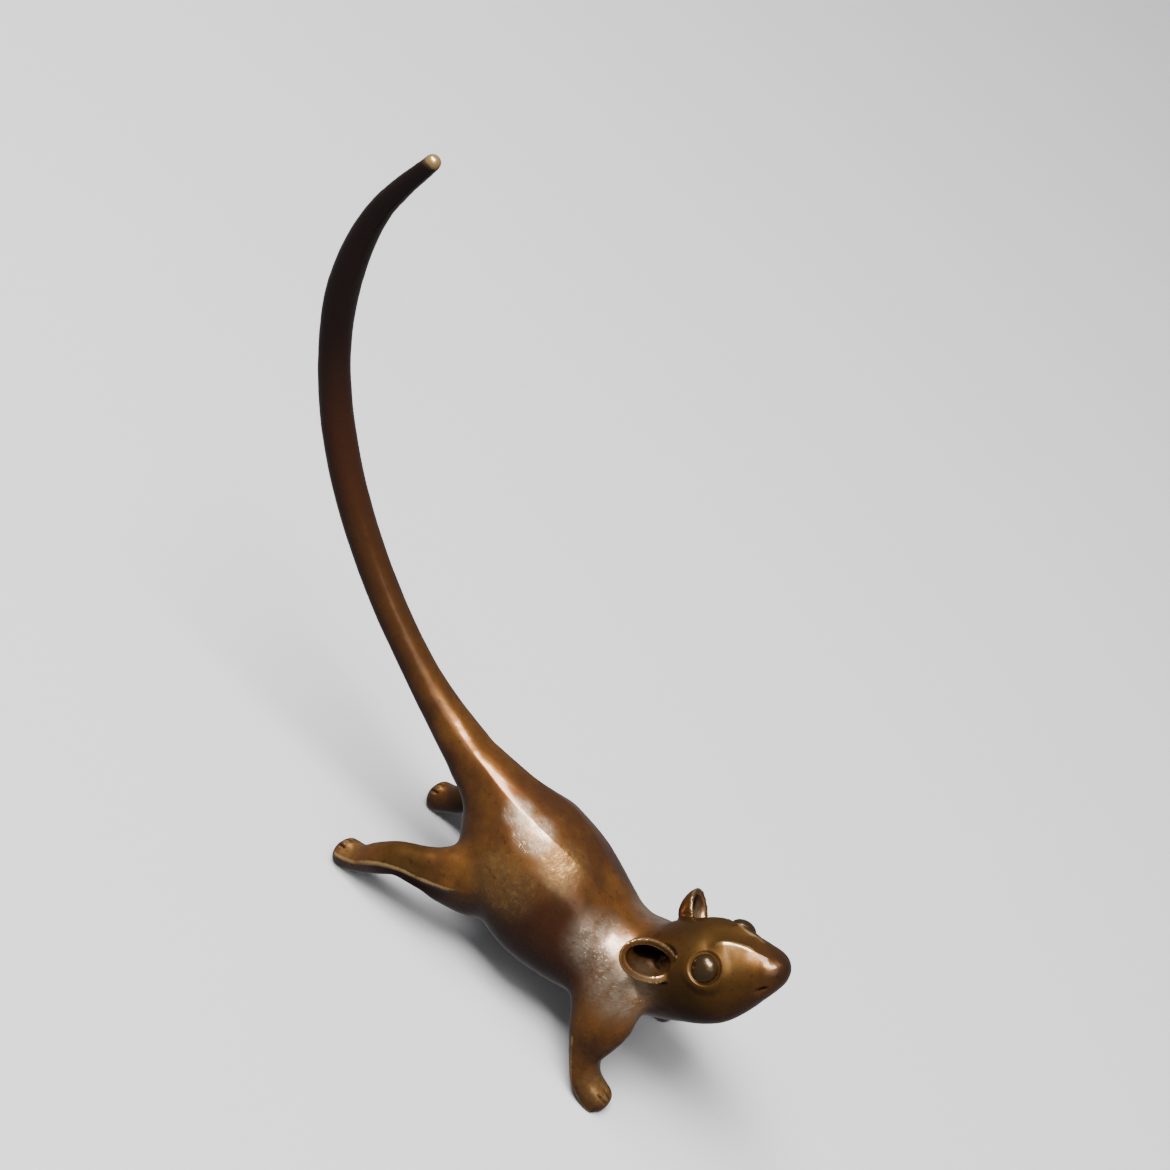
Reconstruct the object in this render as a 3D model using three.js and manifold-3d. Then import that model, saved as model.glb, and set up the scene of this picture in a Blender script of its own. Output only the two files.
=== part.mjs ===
// Mouse figurine: a small bronze mouse standing on four paws, its head raised and its long tail curved up behind it.
// It is cast in pieces that plug together: a torso, a head, a tail and four legs on round spigots, two ears on pegs
// and two eye studs. Millimetres, +Z up, nose towards +X, left side towards +Y, the paws on Z = 0.
import * as THREE from "three";
import { mergeVertices } from "three/addons/utils/BufferGeometryUtils.js";
import Module from "manifold-3d";

const wasm = await Module();
wasm.setup();

// Joinery
const JOINT_GAP = 0.3; // braze gap between a piece and its seat, all round
const TAIL_SPIGOT = { radius: 1.3, length: 4.0 };
const NECK_SPIGOT = { radius: 2.2, length: 4.0 };
const HIND_SPIGOT = { radius: 1.0, length: 3.0 };
const FORE_SPIGOT = { radius: 1.0, length: 3.0 };
const EAR_PEG = { radius: 0.7, length: 2.8 };
const EYE_SHANK = { radius: 0.8, length: 2.0 };

// Body and head: sections on a spine in the mid plane, from the tail joint to the nose. ahead is the step forwards from
// the section before, height is the centre's height above the ground; side, top and under are the half width, the rise
// and the drop of the section.
const TAIL_ROOT = { ahead: 0, height: 15.5, side: 2.4, top: 2.4, under: 2.4 };
const RUMP = { ahead: 3.4, height: 14.1, side: 3.25, top: 3.85, under: 3.0 };
const HIPS = { ahead: 4.4, height: 11.7, side: 5.95, top: 6.5, under: 5.7 };
const BELLY = { ahead: 5.8, height: 9.4, side: 6.85, top: 7.2, under: 6.6 };
const CHEST = { ahead: 6.2, height: 9.2, side: 5.65, top: 5.6, under: 5.5 };
const NECK = { ahead: 4.6, height: 11.2, side: 4.2, top: 3.6, under: 5.0 };
const NAPE = { ahead: 3.0, height: 14.0, side: 4.5, top: 4.2, under: 4.8 };
const BROW = { ahead: 3.0, height: 17.3, side: 4.4, top: 4.4, under: 4.5 };
const MUZZLE = { ahead: 2.6, height: 20.5, side: 2.8, top: 2.4, under: 2.5 };
const NOSE = { ahead: 1.6, height: 23.0, side: 1.3, top: 1.1, under: 1.0 };
const NOSE_ROUND = 1.3;

// Tail: one cubic curve from the tail joint to its tip. behind is the distance behind the tail joint. Its radii are given
// at even steps along the curve.
const TAIL_NEAR_HANDLE = { behind: 19.7, height: 22.3 };
const TAIL_FAR_HANDLE = { behind: 40.4, height: 42.6 };
const TAIL_TIP = { behind: 29.2, height: 64.4 };
const TAIL_NECK_RADIUS = 1.7;
const TAIL_MID_RADIUS = 1.57;
const TAIL_UPPER_RADIUS = 1.48;
const TAIL_THIN_RADIUS = 1.1;
const TAIL_TIP_RADIUS = 0.72;
const TAIL_ROUND = 0.7;

// Legs: sections from inside the torso to the toes. The first steps ahead from a section of the body, each other one from
// the section before it; out is the distance from the mid plane. The tops of the fore legs' sections face forwards. The
// left paws stand a stride away from where the right ones would be mirrored.
const THIGH_ROOT = { ahead: 2.4, out: 2.6, height: 9.6, side: 2.2, top: 3.6, under: 4.4 };
const THIGH = { ahead: -2.6, out: 4.4, height: 8.4, side: 2.3, top: 3.4, under: 4.8 };
const KNEE = { ahead: -2.3, out: 5.4, height: 7.3, side: 2.1, top: 2.9, under: 3.6 };
const CALF = { ahead: -1.8, out: 6.1, height: 6.7, side: 1.8, top: 2.2, under: 2.4 };
const HOCK = { ahead: -2.4, out: 6.5, height: 5.6, side: 1.6, top: 1.7, under: 1.65 };
const SHIN = { ahead: -1.7, out: 6.65, height: 3.9, side: 1.5, top: 1.5, under: 1.55 };
const ANKLE = { ahead: -1.3, out: 6.6, height: 2.25, side: 1.35, top: 1.3, under: 1.4 };
const HIND_PAW = { ahead: -1.8, out: 6.5, height: 1.25, side: 1.45, top: 1.45, under: 1.9 };
const HIND_TOES = { ahead: -1.1, out: 6.4, height: 1.05, side: 1.35, top: 1.1, under: 1.8 };
const HIND_LEG = [THIGH_ROOT, THIGH, KNEE, CALF, HOCK, SHIN, ANKLE, HIND_PAW, HIND_TOES];
const HIND_STRIDE = { ahead: 1.2, out: 0.4 };

const SHOULDER_ROOT = { ahead: 1.6, out: 2.2, height: 10.4, side: 2.2, top: 3.4, under: 3.4 };
const SHOULDER = { ahead: 1.8, out: 4.0, height: 9.4, side: 2.2, top: 4.6, under: 3.6 };
const UPPER_ARM = { ahead: 1.2, out: 5.1, height: 7.8, side: 2.0, top: 3.9, under: 3.2 };
const ELBOW = { ahead: 0.8, out: 6.0, height: 5.8, side: 1.7, top: 2.85, under: 2.45 };
const FOREARM = { ahead: 0.9, out: 6.5, height: 3.5, side: 1.45, top: 1.5, under: 1.7 };
const WRIST = { ahead: 1.2, out: 6.8, height: 1.85, side: 1.5, top: 1.3, under: 1.55 };
const FORE_PAW = { ahead: 1.7, out: 6.85, height: 1.1, side: 1.5, top: 1.2, under: 1.9 };
const FORE_TOES = { ahead: 1.5, out: 6.8, height: 1.0, side: 1.3, top: 1.0, under: 1.7 };
const FORE_LEG = [SHOULDER_ROOT, SHOULDER, UPPER_ARM, ELBOW, FOREARM, WRIST, FORE_PAW, FORE_TOES];
const FORE_STRIDE = { ahead: -1.4, out: 0.3 };
const TOE_ROUND = 1.0;
const GROUND_BLOCK = { width: 120, depth: 10 }; // cuts the soles flat

// Ears: cups beside the nape that open forwards and outwards, the left one further forwards. after is the distance of
// the cup's mouth after the nape's section, clear is how far the middle of the mouth stands off the skull.
const EARS = {
  right: { after: 0.7, clear: 1.9, length: 5.7, width: 4.1 },
  left: { after: 0.0, clear: 1.1, length: 4.3, width: 4.2 },
};
const EAR_ANGLE = { right: 55, left: 54 }; // degrees from the top of the skull to the ear
const EAR_SWING = { right: 45, left: 74 }; // degrees that the ear looks forwards
const EAR_TILT = { right: 42, left: 10 }; // degrees that the ear's front end is lowered
const EAR_CUP = { depth: 2.6, hollow: 1.6, wall: 0.6, root: 1.3 };
// Eyes: domed studs beside the brow. after is the distance after the brow's section, sunk how deep the middle sits.
const EYE = { after: 0.9, sunk: 0.35, radius: 1.3, dome: 0.9 };
const EYE_ANGLE = 57; // degrees from the top of the skull to the eye
const EYE_TURN = 14; // degrees that the eye looks forwards

// Facets
const BODY_SIDES = 28;
const BODY_RINGS = 22;
const HEAD_RINGS = 14;
const TAIL_SIDES = 14;
const TAIL_RINGS = 36;
const LEG_SIDES = 16;
const LEG_RINGS = 14;
const STUB_RINGS = 7;
const END_RINGS = 4;
const PEG_SIDES = 12;
const EAR_SIDES = 20;
const EYE_SIDES = 16;

const UP = new THREE.Vector3(0, 0, 1);
const FORWARDS_AND_UP = new THREE.Vector3(1, 0, 1).normalize();
const LEFT = new THREE.Vector3(0, 1, 0);
const RIGHT = new THREE.Vector3(0, -1, 0);

// Solids from geometries and back
function solidOf(geometry) {
  const bare = geometry.clone();
  bare.deleteAttribute("normal");
  bare.deleteAttribute("uv");
  const merged = mergeVertices(bare, 1e-4);
  return new wasm.Manifold(
    new wasm.Mesh({
      numProp: 3,
      vertProperties: new Float32Array(merged.attributes.position.array),
      triVerts: new Uint32Array(merged.index.array),
    }),
  );
}

function geometryOf(solid) {
  const mesh = solid.getMesh();
  const geometry = new THREE.BufferGeometry();
  geometry.setAttribute("position", new THREE.BufferAttribute(mesh.vertProperties, 3));
  geometry.setIndex(new THREE.BufferAttribute(mesh.triVerts, 1));
  geometry.computeVertexNormals();
  return geometry;
}

// A spine with sections: the centre and the section's sizes run smoothly through the given stations.
class Spine {
  // A spine in the mid plane is given its side direction, a leg the direction that its sections' tops face.
  constructor(stations, { side = null, facing = UP }) {
    this.side = side;
    this.facing = facing;
    const places = stations.map((s) => new THREE.Vector3(s.x, s.y ?? 0, s.height));
    const sizes = stations.map((s) => new THREE.Vector3(s.side, s.top, s.under));
    this.centre = new THREE.CatmullRomCurve3(places, false, "catmullrom");
    this.size = new THREE.CatmullRomCurve3(sizes, false, "catmullrom");
  }

  // The section at u, from 0 at the first station to 1 at the last.
  at(u) {
    const point = this.centre.getPoint(u);
    const along = this.centre.getTangent(u);
    const side = this.side?.clone() ?? new THREE.Vector3().crossVectors(along, this.facing).normalize();
    const up = new THREE.Vector3().crossVectors(side, along);
    return { point, along, side, up, size: this.size.getPoint(u) };
  }

  // The share of u that a length covers near u.
  share(length, u) {
    const step = 0.001;
    const middle = Math.min(Math.max(u, step), 1 - step);
    return (2 * step * length) / this.centre.getPoint(middle - step).distanceTo(this.centre.getPoint(middle + step));
  }

  // A solid skin between u = from and u = to, grown by grow, with its far end rounded over the length round.
  skin(from, to, rings, sides, { grow = 0, round = 0 } = {}) {
    const roundShare = this.share(round, to);
    const heights = [];
    for (let i = 0; i <= rings; i++) heights.push(from + ((to - roundShare - from) * i) / rings);
    for (let i = 1; round > 0 && i < END_RINGS; i++)
      heights.push(to - roundShare * (1 - Math.sin((i / END_RINGS) * (Math.PI / 2))));
    const profile = heights.map((height) => new THREE.Vector2(1, height));
    profile.unshift(new THREE.Vector2(0, from));
    profile.push(new THREE.Vector2(0, to));
    const geometry = new THREE.LatheGeometry(profile, sides);
    const position = geometry.attributes.position;
    for (let i = 0; i < position.count; i++) {
      const height = position.getY(i);
      const { point, side, up, size } = this.at(height);
      const left = round > 0 ? Math.min(1, Math.max(0, (to - height) / roundShare)) : 1;
      const shrink = Math.sqrt(1 - (1 - left) ** 2);
      const across = position.getX(i) * shrink;
      const rise = position.getZ(i) * shrink;
      point.addScaledVector(side, across * (size.x + grow));
      point.addScaledVector(up, rise * ((rise > 0 ? size.y : size.z) + grow));
      position.setXYZ(i, point.x, point.y, point.z);
    }
    return solidOf(geometry);
  }
}

// The stations of a chain of sections, each a step ahead of the one before, from a start.
function chain(sections, start) {
  let x = start;
  return sections.map((section) => {
    x += section.ahead;
    return { ...section, x };
  });
}

// A round peg that starts at a point and runs along a direction.
function peg(start, along, radius, length) {
  const geometry = new THREE.CylinderGeometry(radius, radius, length, PEG_SIDES).translate(0, length / 2, 0);
  geometry.applyQuaternion(new THREE.Quaternion().setFromUnitVectors(LEFT, along));
  geometry.translate(start.x, start.y, start.z);
  return solidOf(geometry);
}

// A spigot that crosses a joint section towards a direction, and the socket that takes it with the gap all round.
function spigotAt(section, direction, { radius, length }) {
  const along = section.along.clone().multiplyScalar(direction);
  const root = section.point.clone().addScaledVector(along, -2 * JOINT_GAP);
  return {
    male: peg(root, along, radius, length + 2 * JOINT_GAP),
    socket: peg(root, along, radius + JOINT_GAP, length + 3 * JOINT_GAP),
  };
}

// A geometry moved onto a centre with its x, y and z along three directions.
function placed(geometry, axes, centre) {
  return solidOf(geometry.applyMatrix4(new THREE.Matrix4().makeBasis(...axes).setPosition(centre)));
}

function ellipsoid(axes, centre, halves, sides) {
  return placed(new THREE.SphereGeometry(1, sides, sides / 2).scale(...halves), axes, centre);
}

// Spines of the body and the tail
const bodyStations = chain([TAIL_ROOT, RUMP, HIPS, BELLY, CHEST, NECK, NAPE, BROW, MUZZLE, NOSE], 0);
const [tailRoot, , hips, , chest] = bodyStations;
const body = new Spine(bodyStations, { side: RIGHT });
const stationShare = (index) => index / (bodyStations.length - 1);
const neckAt = stationShare(5);
const napeAt = stationShare(6);
const browAt = stationShare(7);

const tailCurve = new THREE.CubicBezierCurve3(
  new THREE.Vector3(0, 0, TAIL_ROOT.height),
  ...[TAIL_NEAR_HANDLE, TAIL_FAR_HANDLE, TAIL_TIP].map((p) => new THREE.Vector3(-p.behind, 0, p.height)),
);
const tailRadii = [
  TAIL_NECK_RADIUS,
  TAIL_MID_RADIUS,
  TAIL_MID_RADIUS,
  TAIL_MID_RADIUS,
  TAIL_UPPER_RADIUS,
  TAIL_UPPER_RADIUS,
  TAIL_THIN_RADIUS,
  TAIL_TIP_RADIUS,
];
const tailStations = tailRadii.map((radius, i) => {
  const point = tailCurve.getPoint((i + 1) / tailRadii.length);
  return { x: point.x, height: point.z, side: radius, top: radius, under: radius };
});
const tailSpine = new Spine([tailRoot, ...tailStations], { side: RIGHT });

// Body castings
const neckSpigot = spigotAt(body.at(neckAt), -1, NECK_SPIGOT);
const tailSpigot = spigotAt(body.at(0), 1, TAIL_SPIGOT);
const neckGap = body.share(JOINT_GAP / 2, neckAt);
const tailGap = tailSpine.share(JOINT_GAP, 0);
let torso = body.skin(0, neckAt - neckGap, BODY_RINGS, BODY_SIDES);
const torsoRoom = body.skin(0, neckAt, BODY_RINGS, BODY_SIDES, { grow: JOINT_GAP });
let head = body.skin(neckAt + neckGap, 1, HEAD_RINGS, BODY_SIDES, { round: NOSE_ROUND }).add(neckSpigot.male);
const roomAroundHead = (grow) =>
  body.skin(neckAt - neckGap, 1, HEAD_RINGS, BODY_SIDES, { grow, round: NOSE_ROUND });
const headRoom = roomAroundHead(JOINT_GAP);
const tail = tailSpine.skin(tailGap, 1, TAIL_RINGS, TAIL_SIDES, { round: TAIL_ROUND }).add(tailSpigot.male);

// Legs, their stubs on the torso, and the flat soles
const HANDS = { right: -1, left: 1 };
const ground = solidOf(
  new THREE.BoxGeometry(GROUND_BLOCK.width, GROUND_BLOCK.width, GROUND_BLOCK.depth).translate(
    chest.x,
    0,
    -GROUND_BLOCK.depth / 2,
  ),
);
const legs = {};
function addLegs(place, sections, facing, start, joint, stride, spigotSize) {
  const stations = chain(sections, start);
  const at = sections.indexOf(joint) / (sections.length - 1);
  for (const [hand, sign] of Object.entries(HANDS)) {
    const planted = stations.map((s, i) => {
      const share = hand === "left" ? i / (sections.length - 1) : 0;
      return { ...s, x: s.x + share * stride.ahead, y: sign * (s.out + share * stride.out) };
    });
    const spine = new Spine(planted, { facing });
    const gap = spine.share(JOINT_GAP / 2, at);
    const spigot = spigotAt(spine.at(at), -1, spigotSize);
    const stub = spine.skin(0, at - gap, STUB_RINGS, LEG_SIDES).subtract(headRoom);
    torso = torso.add(stub).subtract(spigot.socket);
    legs[`${place}_leg_${hand}`] = spine
      .skin(at + gap, 1, LEG_RINGS, LEG_SIDES, { round: TOE_ROUND })
      .subtract(torsoRoom)
      .subtract(headRoom)
      .add(spigot.male)
      .subtract(ground);
  }
}
addLegs("fore", FORE_LEG, FORWARDS_AND_UP, chest.x, ELBOW, FORE_STRIDE, FORE_SPIGOT);
addLegs("hind", HIND_LEG, UP, hips.x, CALF, HIND_STRIDE, HIND_SPIGOT);
torso = torso.subtract(neckSpigot.socket).subtract(tailSpigot.socket);

// The skin of the head beside a section: the point at an angle from the top, and the direction out of the skin there.
function skullAt(at, angle, sign) {
  const { point, along, up, size } = body.at(at);
  const turn = THREE.MathUtils.degToRad(angle);
  const side = LEFT.clone().multiplyScalar(sign);
  const outwards = up.clone().multiplyScalar(Math.cos(turn)).addScaledVector(side, Math.sin(turn));
  const reach = 1 / Math.hypot(Math.sin(turn) / size.x, Math.cos(turn) / size.y);
  return { skin: point.clone().addScaledVector(outwards, reach), outwards, along, side, up };
}

// Ears and eyes. An ear's hollow leaves a wall over the skull too.
const earFloor = roomAroundHead(JOINT_GAP + EAR_CUP.wall);
const ears = {};
const eyes = {};
for (const [hand, sign] of Object.entries(HANDS)) {
  const ear = EARS[hand];
  const beside = skullAt(napeAt + body.share(ear.after, napeAt), EAR_ANGLE[hand], sign);
  const swing = THREE.MathUtils.degToRad(EAR_SWING[hand]);
  const forwards = beside.along.clone().multiplyScalar(Math.sin(swing));
  const facing = forwards.addScaledVector(beside.side, Math.cos(swing));
  const long = new THREE.Vector3().crossVectors(beside.up, facing);
  const tilt = sign * THREE.MathUtils.degToRad(EAR_TILT[hand]);
  const earAxes = [...[long, beside.up].map((axis) => axis.clone().applyAxisAngle(facing, tilt)), facing];
  const mouth = beside.skin.clone().addScaledVector(beside.outwards, ear.clear);
  const seat = mouth.clone().addScaledVector(facing, -EAR_CUP.hollow - EAR_CUP.wall);
  const inwards = beside.outwards.clone().negate();
  const front = new THREE.BoxGeometry(2 * ear.length, 2 * ear.length, 2 * EAR_CUP.depth);
  front.translate(0, 0, EAR_CUP.depth);
  const halves = [ear.length / 2, ear.width / 2];
  const inside = [...halves.map((half) => half - EAR_CUP.wall), EAR_CUP.hollow];
  const hollow = ellipsoid(earAxes, mouth, inside, EAR_SIDES).subtract(earFloor);
  ears[`ear_${hand}`] = ellipsoid(earAxes, mouth, [...halves, EAR_CUP.depth], EAR_SIDES)
    .add(peg(seat, inwards, EAR_CUP.root, EAR_PEG.length))
    .subtract(headRoom)
    .subtract(torsoRoom)
    .add(peg(seat, inwards, EAR_PEG.radius, EAR_PEG.length))
    .subtract(hollow)
    .subtract(placed(front, earAxes, mouth));
  head = head.subtract(peg(seat, inwards, EAR_PEG.radius + JOINT_GAP, EAR_PEG.length + JOINT_GAP));

  const socket = skullAt(browAt + body.share(EYE.after, browAt), EYE_ANGLE, sign);
  const turn = THREE.MathUtils.degToRad(EYE_TURN);
  const gaze = socket.outwards.clone().multiplyScalar(Math.cos(turn)).addScaledVector(socket.along, Math.sin(turn));
  const brow = new THREE.Vector3().crossVectors(gaze, UP).normalize();
  const eyeAxes = [brow, new THREE.Vector3().crossVectors(gaze, brow), gaze];
  const eyeCentre = socket.skin.clone().addScaledVector(gaze, -EYE.sunk);
  const outside = eyeCentre.clone().addScaledVector(gaze, 2 * EYE.dome);
  const backwards = gaze.clone().negate();
  eyes[`eye_${hand}`] = ellipsoid(eyeAxes, eyeCentre, [EYE.radius, EYE.radius, EYE.dome], EYE_SIDES).add(
    peg(eyeCentre, backwards, EYE_SHANK.radius, EYE_SHANK.length),
  );
  head = head
    .subtract(peg(outside, backwards, EYE.radius + JOINT_GAP, 3 * EYE.dome + JOINT_GAP))
    .subtract(peg(eyeCentre, backwards, EYE_SHANK.radius + JOINT_GAP, EYE_SHANK.length + JOINT_GAP));
}

// Scene graph, centred on the ground
const pieces = { torso, head, tail, ...legs, ...ears, ...eyes };
const figure = new THREE.Group();
for (const [name, solid] of Object.entries(pieces)) {
  const color = name === "tail" ? 0x4a2a1c : 0x6b3f1a;
  const bronze = new THREE.MeshStandardMaterial({ color, roughness: 0.35, metalness: 1.0 });
  const mesh = new THREE.Mesh(geometryOf(solid), bronze);
  mesh.name = name;
  figure.add(mesh);
}
const box = new THREE.Box3().setFromObject(figure);
figure.position.x = -(box.min.x + box.max.x) / 2;

export default figure;
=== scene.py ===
"""Mouse figurine: the dressed model of a small patinated bronze mouse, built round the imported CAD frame.

The figure is first modelled in one skin, in millimetres, as its wax would be. The skin is then sawn at the
CAD's joints into the castings that plug together: a torso, a head, a tail, four legs and two ears. The two eye
studs are spun on their own.
"""

import logging
import math
from dataclasses import dataclass, field
from enum import Enum
from typing import Iterable, NamedTuple

import bmesh
import bpy
import numpy as np
from mathutils import Matrix, Vector, noise
from mathutils.bvhtree import BVHTree

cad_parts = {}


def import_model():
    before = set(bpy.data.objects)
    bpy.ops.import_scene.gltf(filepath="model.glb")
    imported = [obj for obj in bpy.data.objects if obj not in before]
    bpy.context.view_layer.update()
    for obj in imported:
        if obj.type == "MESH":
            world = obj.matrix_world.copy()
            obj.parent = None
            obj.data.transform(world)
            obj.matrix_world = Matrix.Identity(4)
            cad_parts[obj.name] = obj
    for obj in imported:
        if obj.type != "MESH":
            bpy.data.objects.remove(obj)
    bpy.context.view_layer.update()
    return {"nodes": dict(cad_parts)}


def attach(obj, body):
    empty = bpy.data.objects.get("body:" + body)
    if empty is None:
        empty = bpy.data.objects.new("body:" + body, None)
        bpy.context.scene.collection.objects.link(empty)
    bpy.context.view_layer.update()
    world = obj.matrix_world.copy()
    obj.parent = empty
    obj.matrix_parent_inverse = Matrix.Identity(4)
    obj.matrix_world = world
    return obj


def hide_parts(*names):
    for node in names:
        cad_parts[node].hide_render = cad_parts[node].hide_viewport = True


LOG = logging.getLogger("mouse")

MM = 0.001
TAIL_JOINT_X = -0.818  # the tail joint's place in the CAD frame, in millimetres
UP = np.array([0.0, 0.0, 1.0])
RIGHT = np.array([0.0, -1.0, 0.0])
FORWARDS_AND_UP = np.array([0.7071, 0.0, 0.7071])
BRUSH = "brush"  # the attribute that the brush strokes follow


class Hand(Enum):
    """The two sides of the mouse, with the sign of their Y."""

    RIGHT = -1
    LEFT = 1


class Slot(Enum):
    """The material slots of the castings."""

    BODY = "bronze"
    TAIL = "tail_bronze"
    EAR = "ear_bronze"
    EYE = "eye_bronze"


class Mask(Enum):
    """What the skin's points remember for the finishes."""

    RIDGE = "ridge"
    HOLLOW = "hollow"
    SHADE = "shade"
    # the tool-worked patches, and a painted sheen along the back
    CHASED = "chased"
    # bright gold flecks, and painted glints by the back's crest
    GILT = "gilt"
    RED = "red"
    OLIVE = "olive"


@dataclass(frozen=True)
class Section:
    """One section of a form, in millimetres: its step ahead of the one before, its centre and half sizes."""

    ahead: float
    height: float
    side: float
    top: float
    under: float
    out: float = 0.0
    square: float = 2.0


class Stride(NamedTuple):
    """How much further ahead and out a left paw stands than the right one, in millimetres."""

    ahead: float = 0.0
    out: float = 0.0


class Place(NamedTuple):
    """A place on a spine: its centre, directions, and its section's half width, rise, drop and squareness."""

    point: np.ndarray
    along: np.ndarray
    side: np.ndarray
    up: np.ndarray
    size: np.ndarray


def unit(vectors: np.ndarray) -> np.ndarray:
    """The vectors at length 1."""
    return vectors / np.linalg.norm(vectors, axis=-1, keepdims=True)


def ease(values: np.ndarray, low: float, high: float) -> np.ndarray:
    """0 below low, 1 above high and a smooth step between them; high may be the lower one."""
    t = np.clip((values - low) / (high - low), 0.0, 1.0)
    return t * t * (3.0 - 2.0 * t)


def bump(values: np.ndarray, width: float) -> np.ndarray:
    """A bell of height 1 about zero."""
    return np.exp(-0.5 * (values / width) ** 2)


def through(stations: np.ndarray, u: np.ndarray) -> np.ndarray:
    """Values on a smooth curve through stations.

    Args:
        stations: One row for each station, evenly spread over u.
        u: Where to read the curve, from 0 at the first station to 1 at the last.

    Returns:
        One row for each u.
    """
    rows = np.vstack([2 * stations[0] - stations[1], stations, 2 * stations[-1] - stations[-2]])
    place = np.clip(u, 0.0, 1.0) * (len(stations) - 1)
    start = np.minimum(place.astype(int), len(stations) - 2)
    t = (place - start)[:, None]
    before, first, last, after = (rows[start + k] for k in range(4))
    bend = 2 * before - 5 * first + 4 * last - after
    twist = 3 * first - before - 3 * last + after
    return 0.5 * (2 * first + (last - before) * t + bend * t**2 + twist * t**3)


class Spine:
    """A smooth centre line that carries a section at every place."""

    STEP = 1e-3
    END_RINGS = 10

    def __init__(self, centres: np.ndarray, sizes: np.ndarray, facing: np.ndarray | None = None) -> None:
        """Keeps the stations.

        Args:
            centres: One centre for each station, in millimetres.
            sizes: Each station's half width, rise, drop and squareness.
            facing: The direction that a leg's tops face; None for a spine in the mid plane.
        """
        self.centres = centres
        self.sizes = sizes
        self.facing = facing

    def at(self, u: np.ndarray) -> Place:
        """The places at u, one row each."""
        low = np.clip(u - self.STEP, 0.0, 1.0)
        high = np.clip(u + self.STEP, 0.0, 1.0)
        along = unit(through(self.centres, high) - through(self.centres, low))
        flat = self.facing is None
        side = np.broadcast_to(RIGHT, along.shape) if flat else unit(np.cross(along, self.facing))
        up = np.cross(side, along)
        return Place(through(self.centres, u), along, side, up, through(self.sizes, u))

    def one(self, u: float) -> Place:
        """The place at one u."""
        return Place(*(rows[0] for rows in self.at(np.array([u]))))

    def share(self, length: float, u: float) -> float:
        """How much of u a length covers near u."""
        middle = min(max(u, self.STEP), 1.0 - self.STEP)
        ends = through(self.centres, np.array([middle - self.STEP, middle + self.STEP]))
        return 2 * self.STEP * length / float(np.linalg.norm(ends[1] - ends[0]))

    def loft(self, sides: int, rings: int, tip: float) -> bmesh.types.BMesh:
        """A closed tube along the whole spine.

        Args:
            sides: Faces round the tube.
            rings: Faces along it.
            tip: The length over which the far end is rounded.

        Returns:
            The tube, in millimetres.
        """
        tube = bmesh.new()
        bmesh.ops.create_cone(
            tube,
            cap_ends=True,
            segments=sides,
            radius1=1.0,
            radius2=1.0,
            depth=1.0,
            matrix=Matrix.Translation((0.0, 0.0, 0.5)),
        )
        lengthwise = [edge for edge in tube.edges if abs(edge.verts[0].co.z - edge.verts[1].co.z) > 0.5]
        bmesh.ops.subdivide_edges(tube, edges=lengthwise, cuts=rings - 1, use_grid_fill=True)
        x, y, z = np.array([vert.co for vert in tube.verts]).T
        tip_share = self.share(tip, 1.0)
        tip_start = 1.0 - self.END_RINGS / rings
        curl = np.sin(np.clip((z - tip_start) / (1.0 - tip_start), 0.0, 1.0) * math.pi / 2)
        u = np.minimum(z / tip_start, 1.0) * (1.0 - tip_share) + tip_share * curl
        place = self.at(u)
        half, rise, drop, square = place.size.T
        left = np.clip((1.0 - u) / tip_share, 0.0, 1.0)
        reach = np.sqrt(np.maximum(1.0 - (1.0 - left) ** 2, 1e-4))
        reach = reach / (np.abs(x) ** square + np.abs(y) ** square) ** (1.0 / square)
        across = (x * reach * half)[:, None] * place.side
        upwards = (y * reach * np.where(y > 0.0, rise, drop))[:, None] * place.up
        for vert, point in zip(tube.verts, place.point + across + upwards):
            vert.co = point
        return tube


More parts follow.
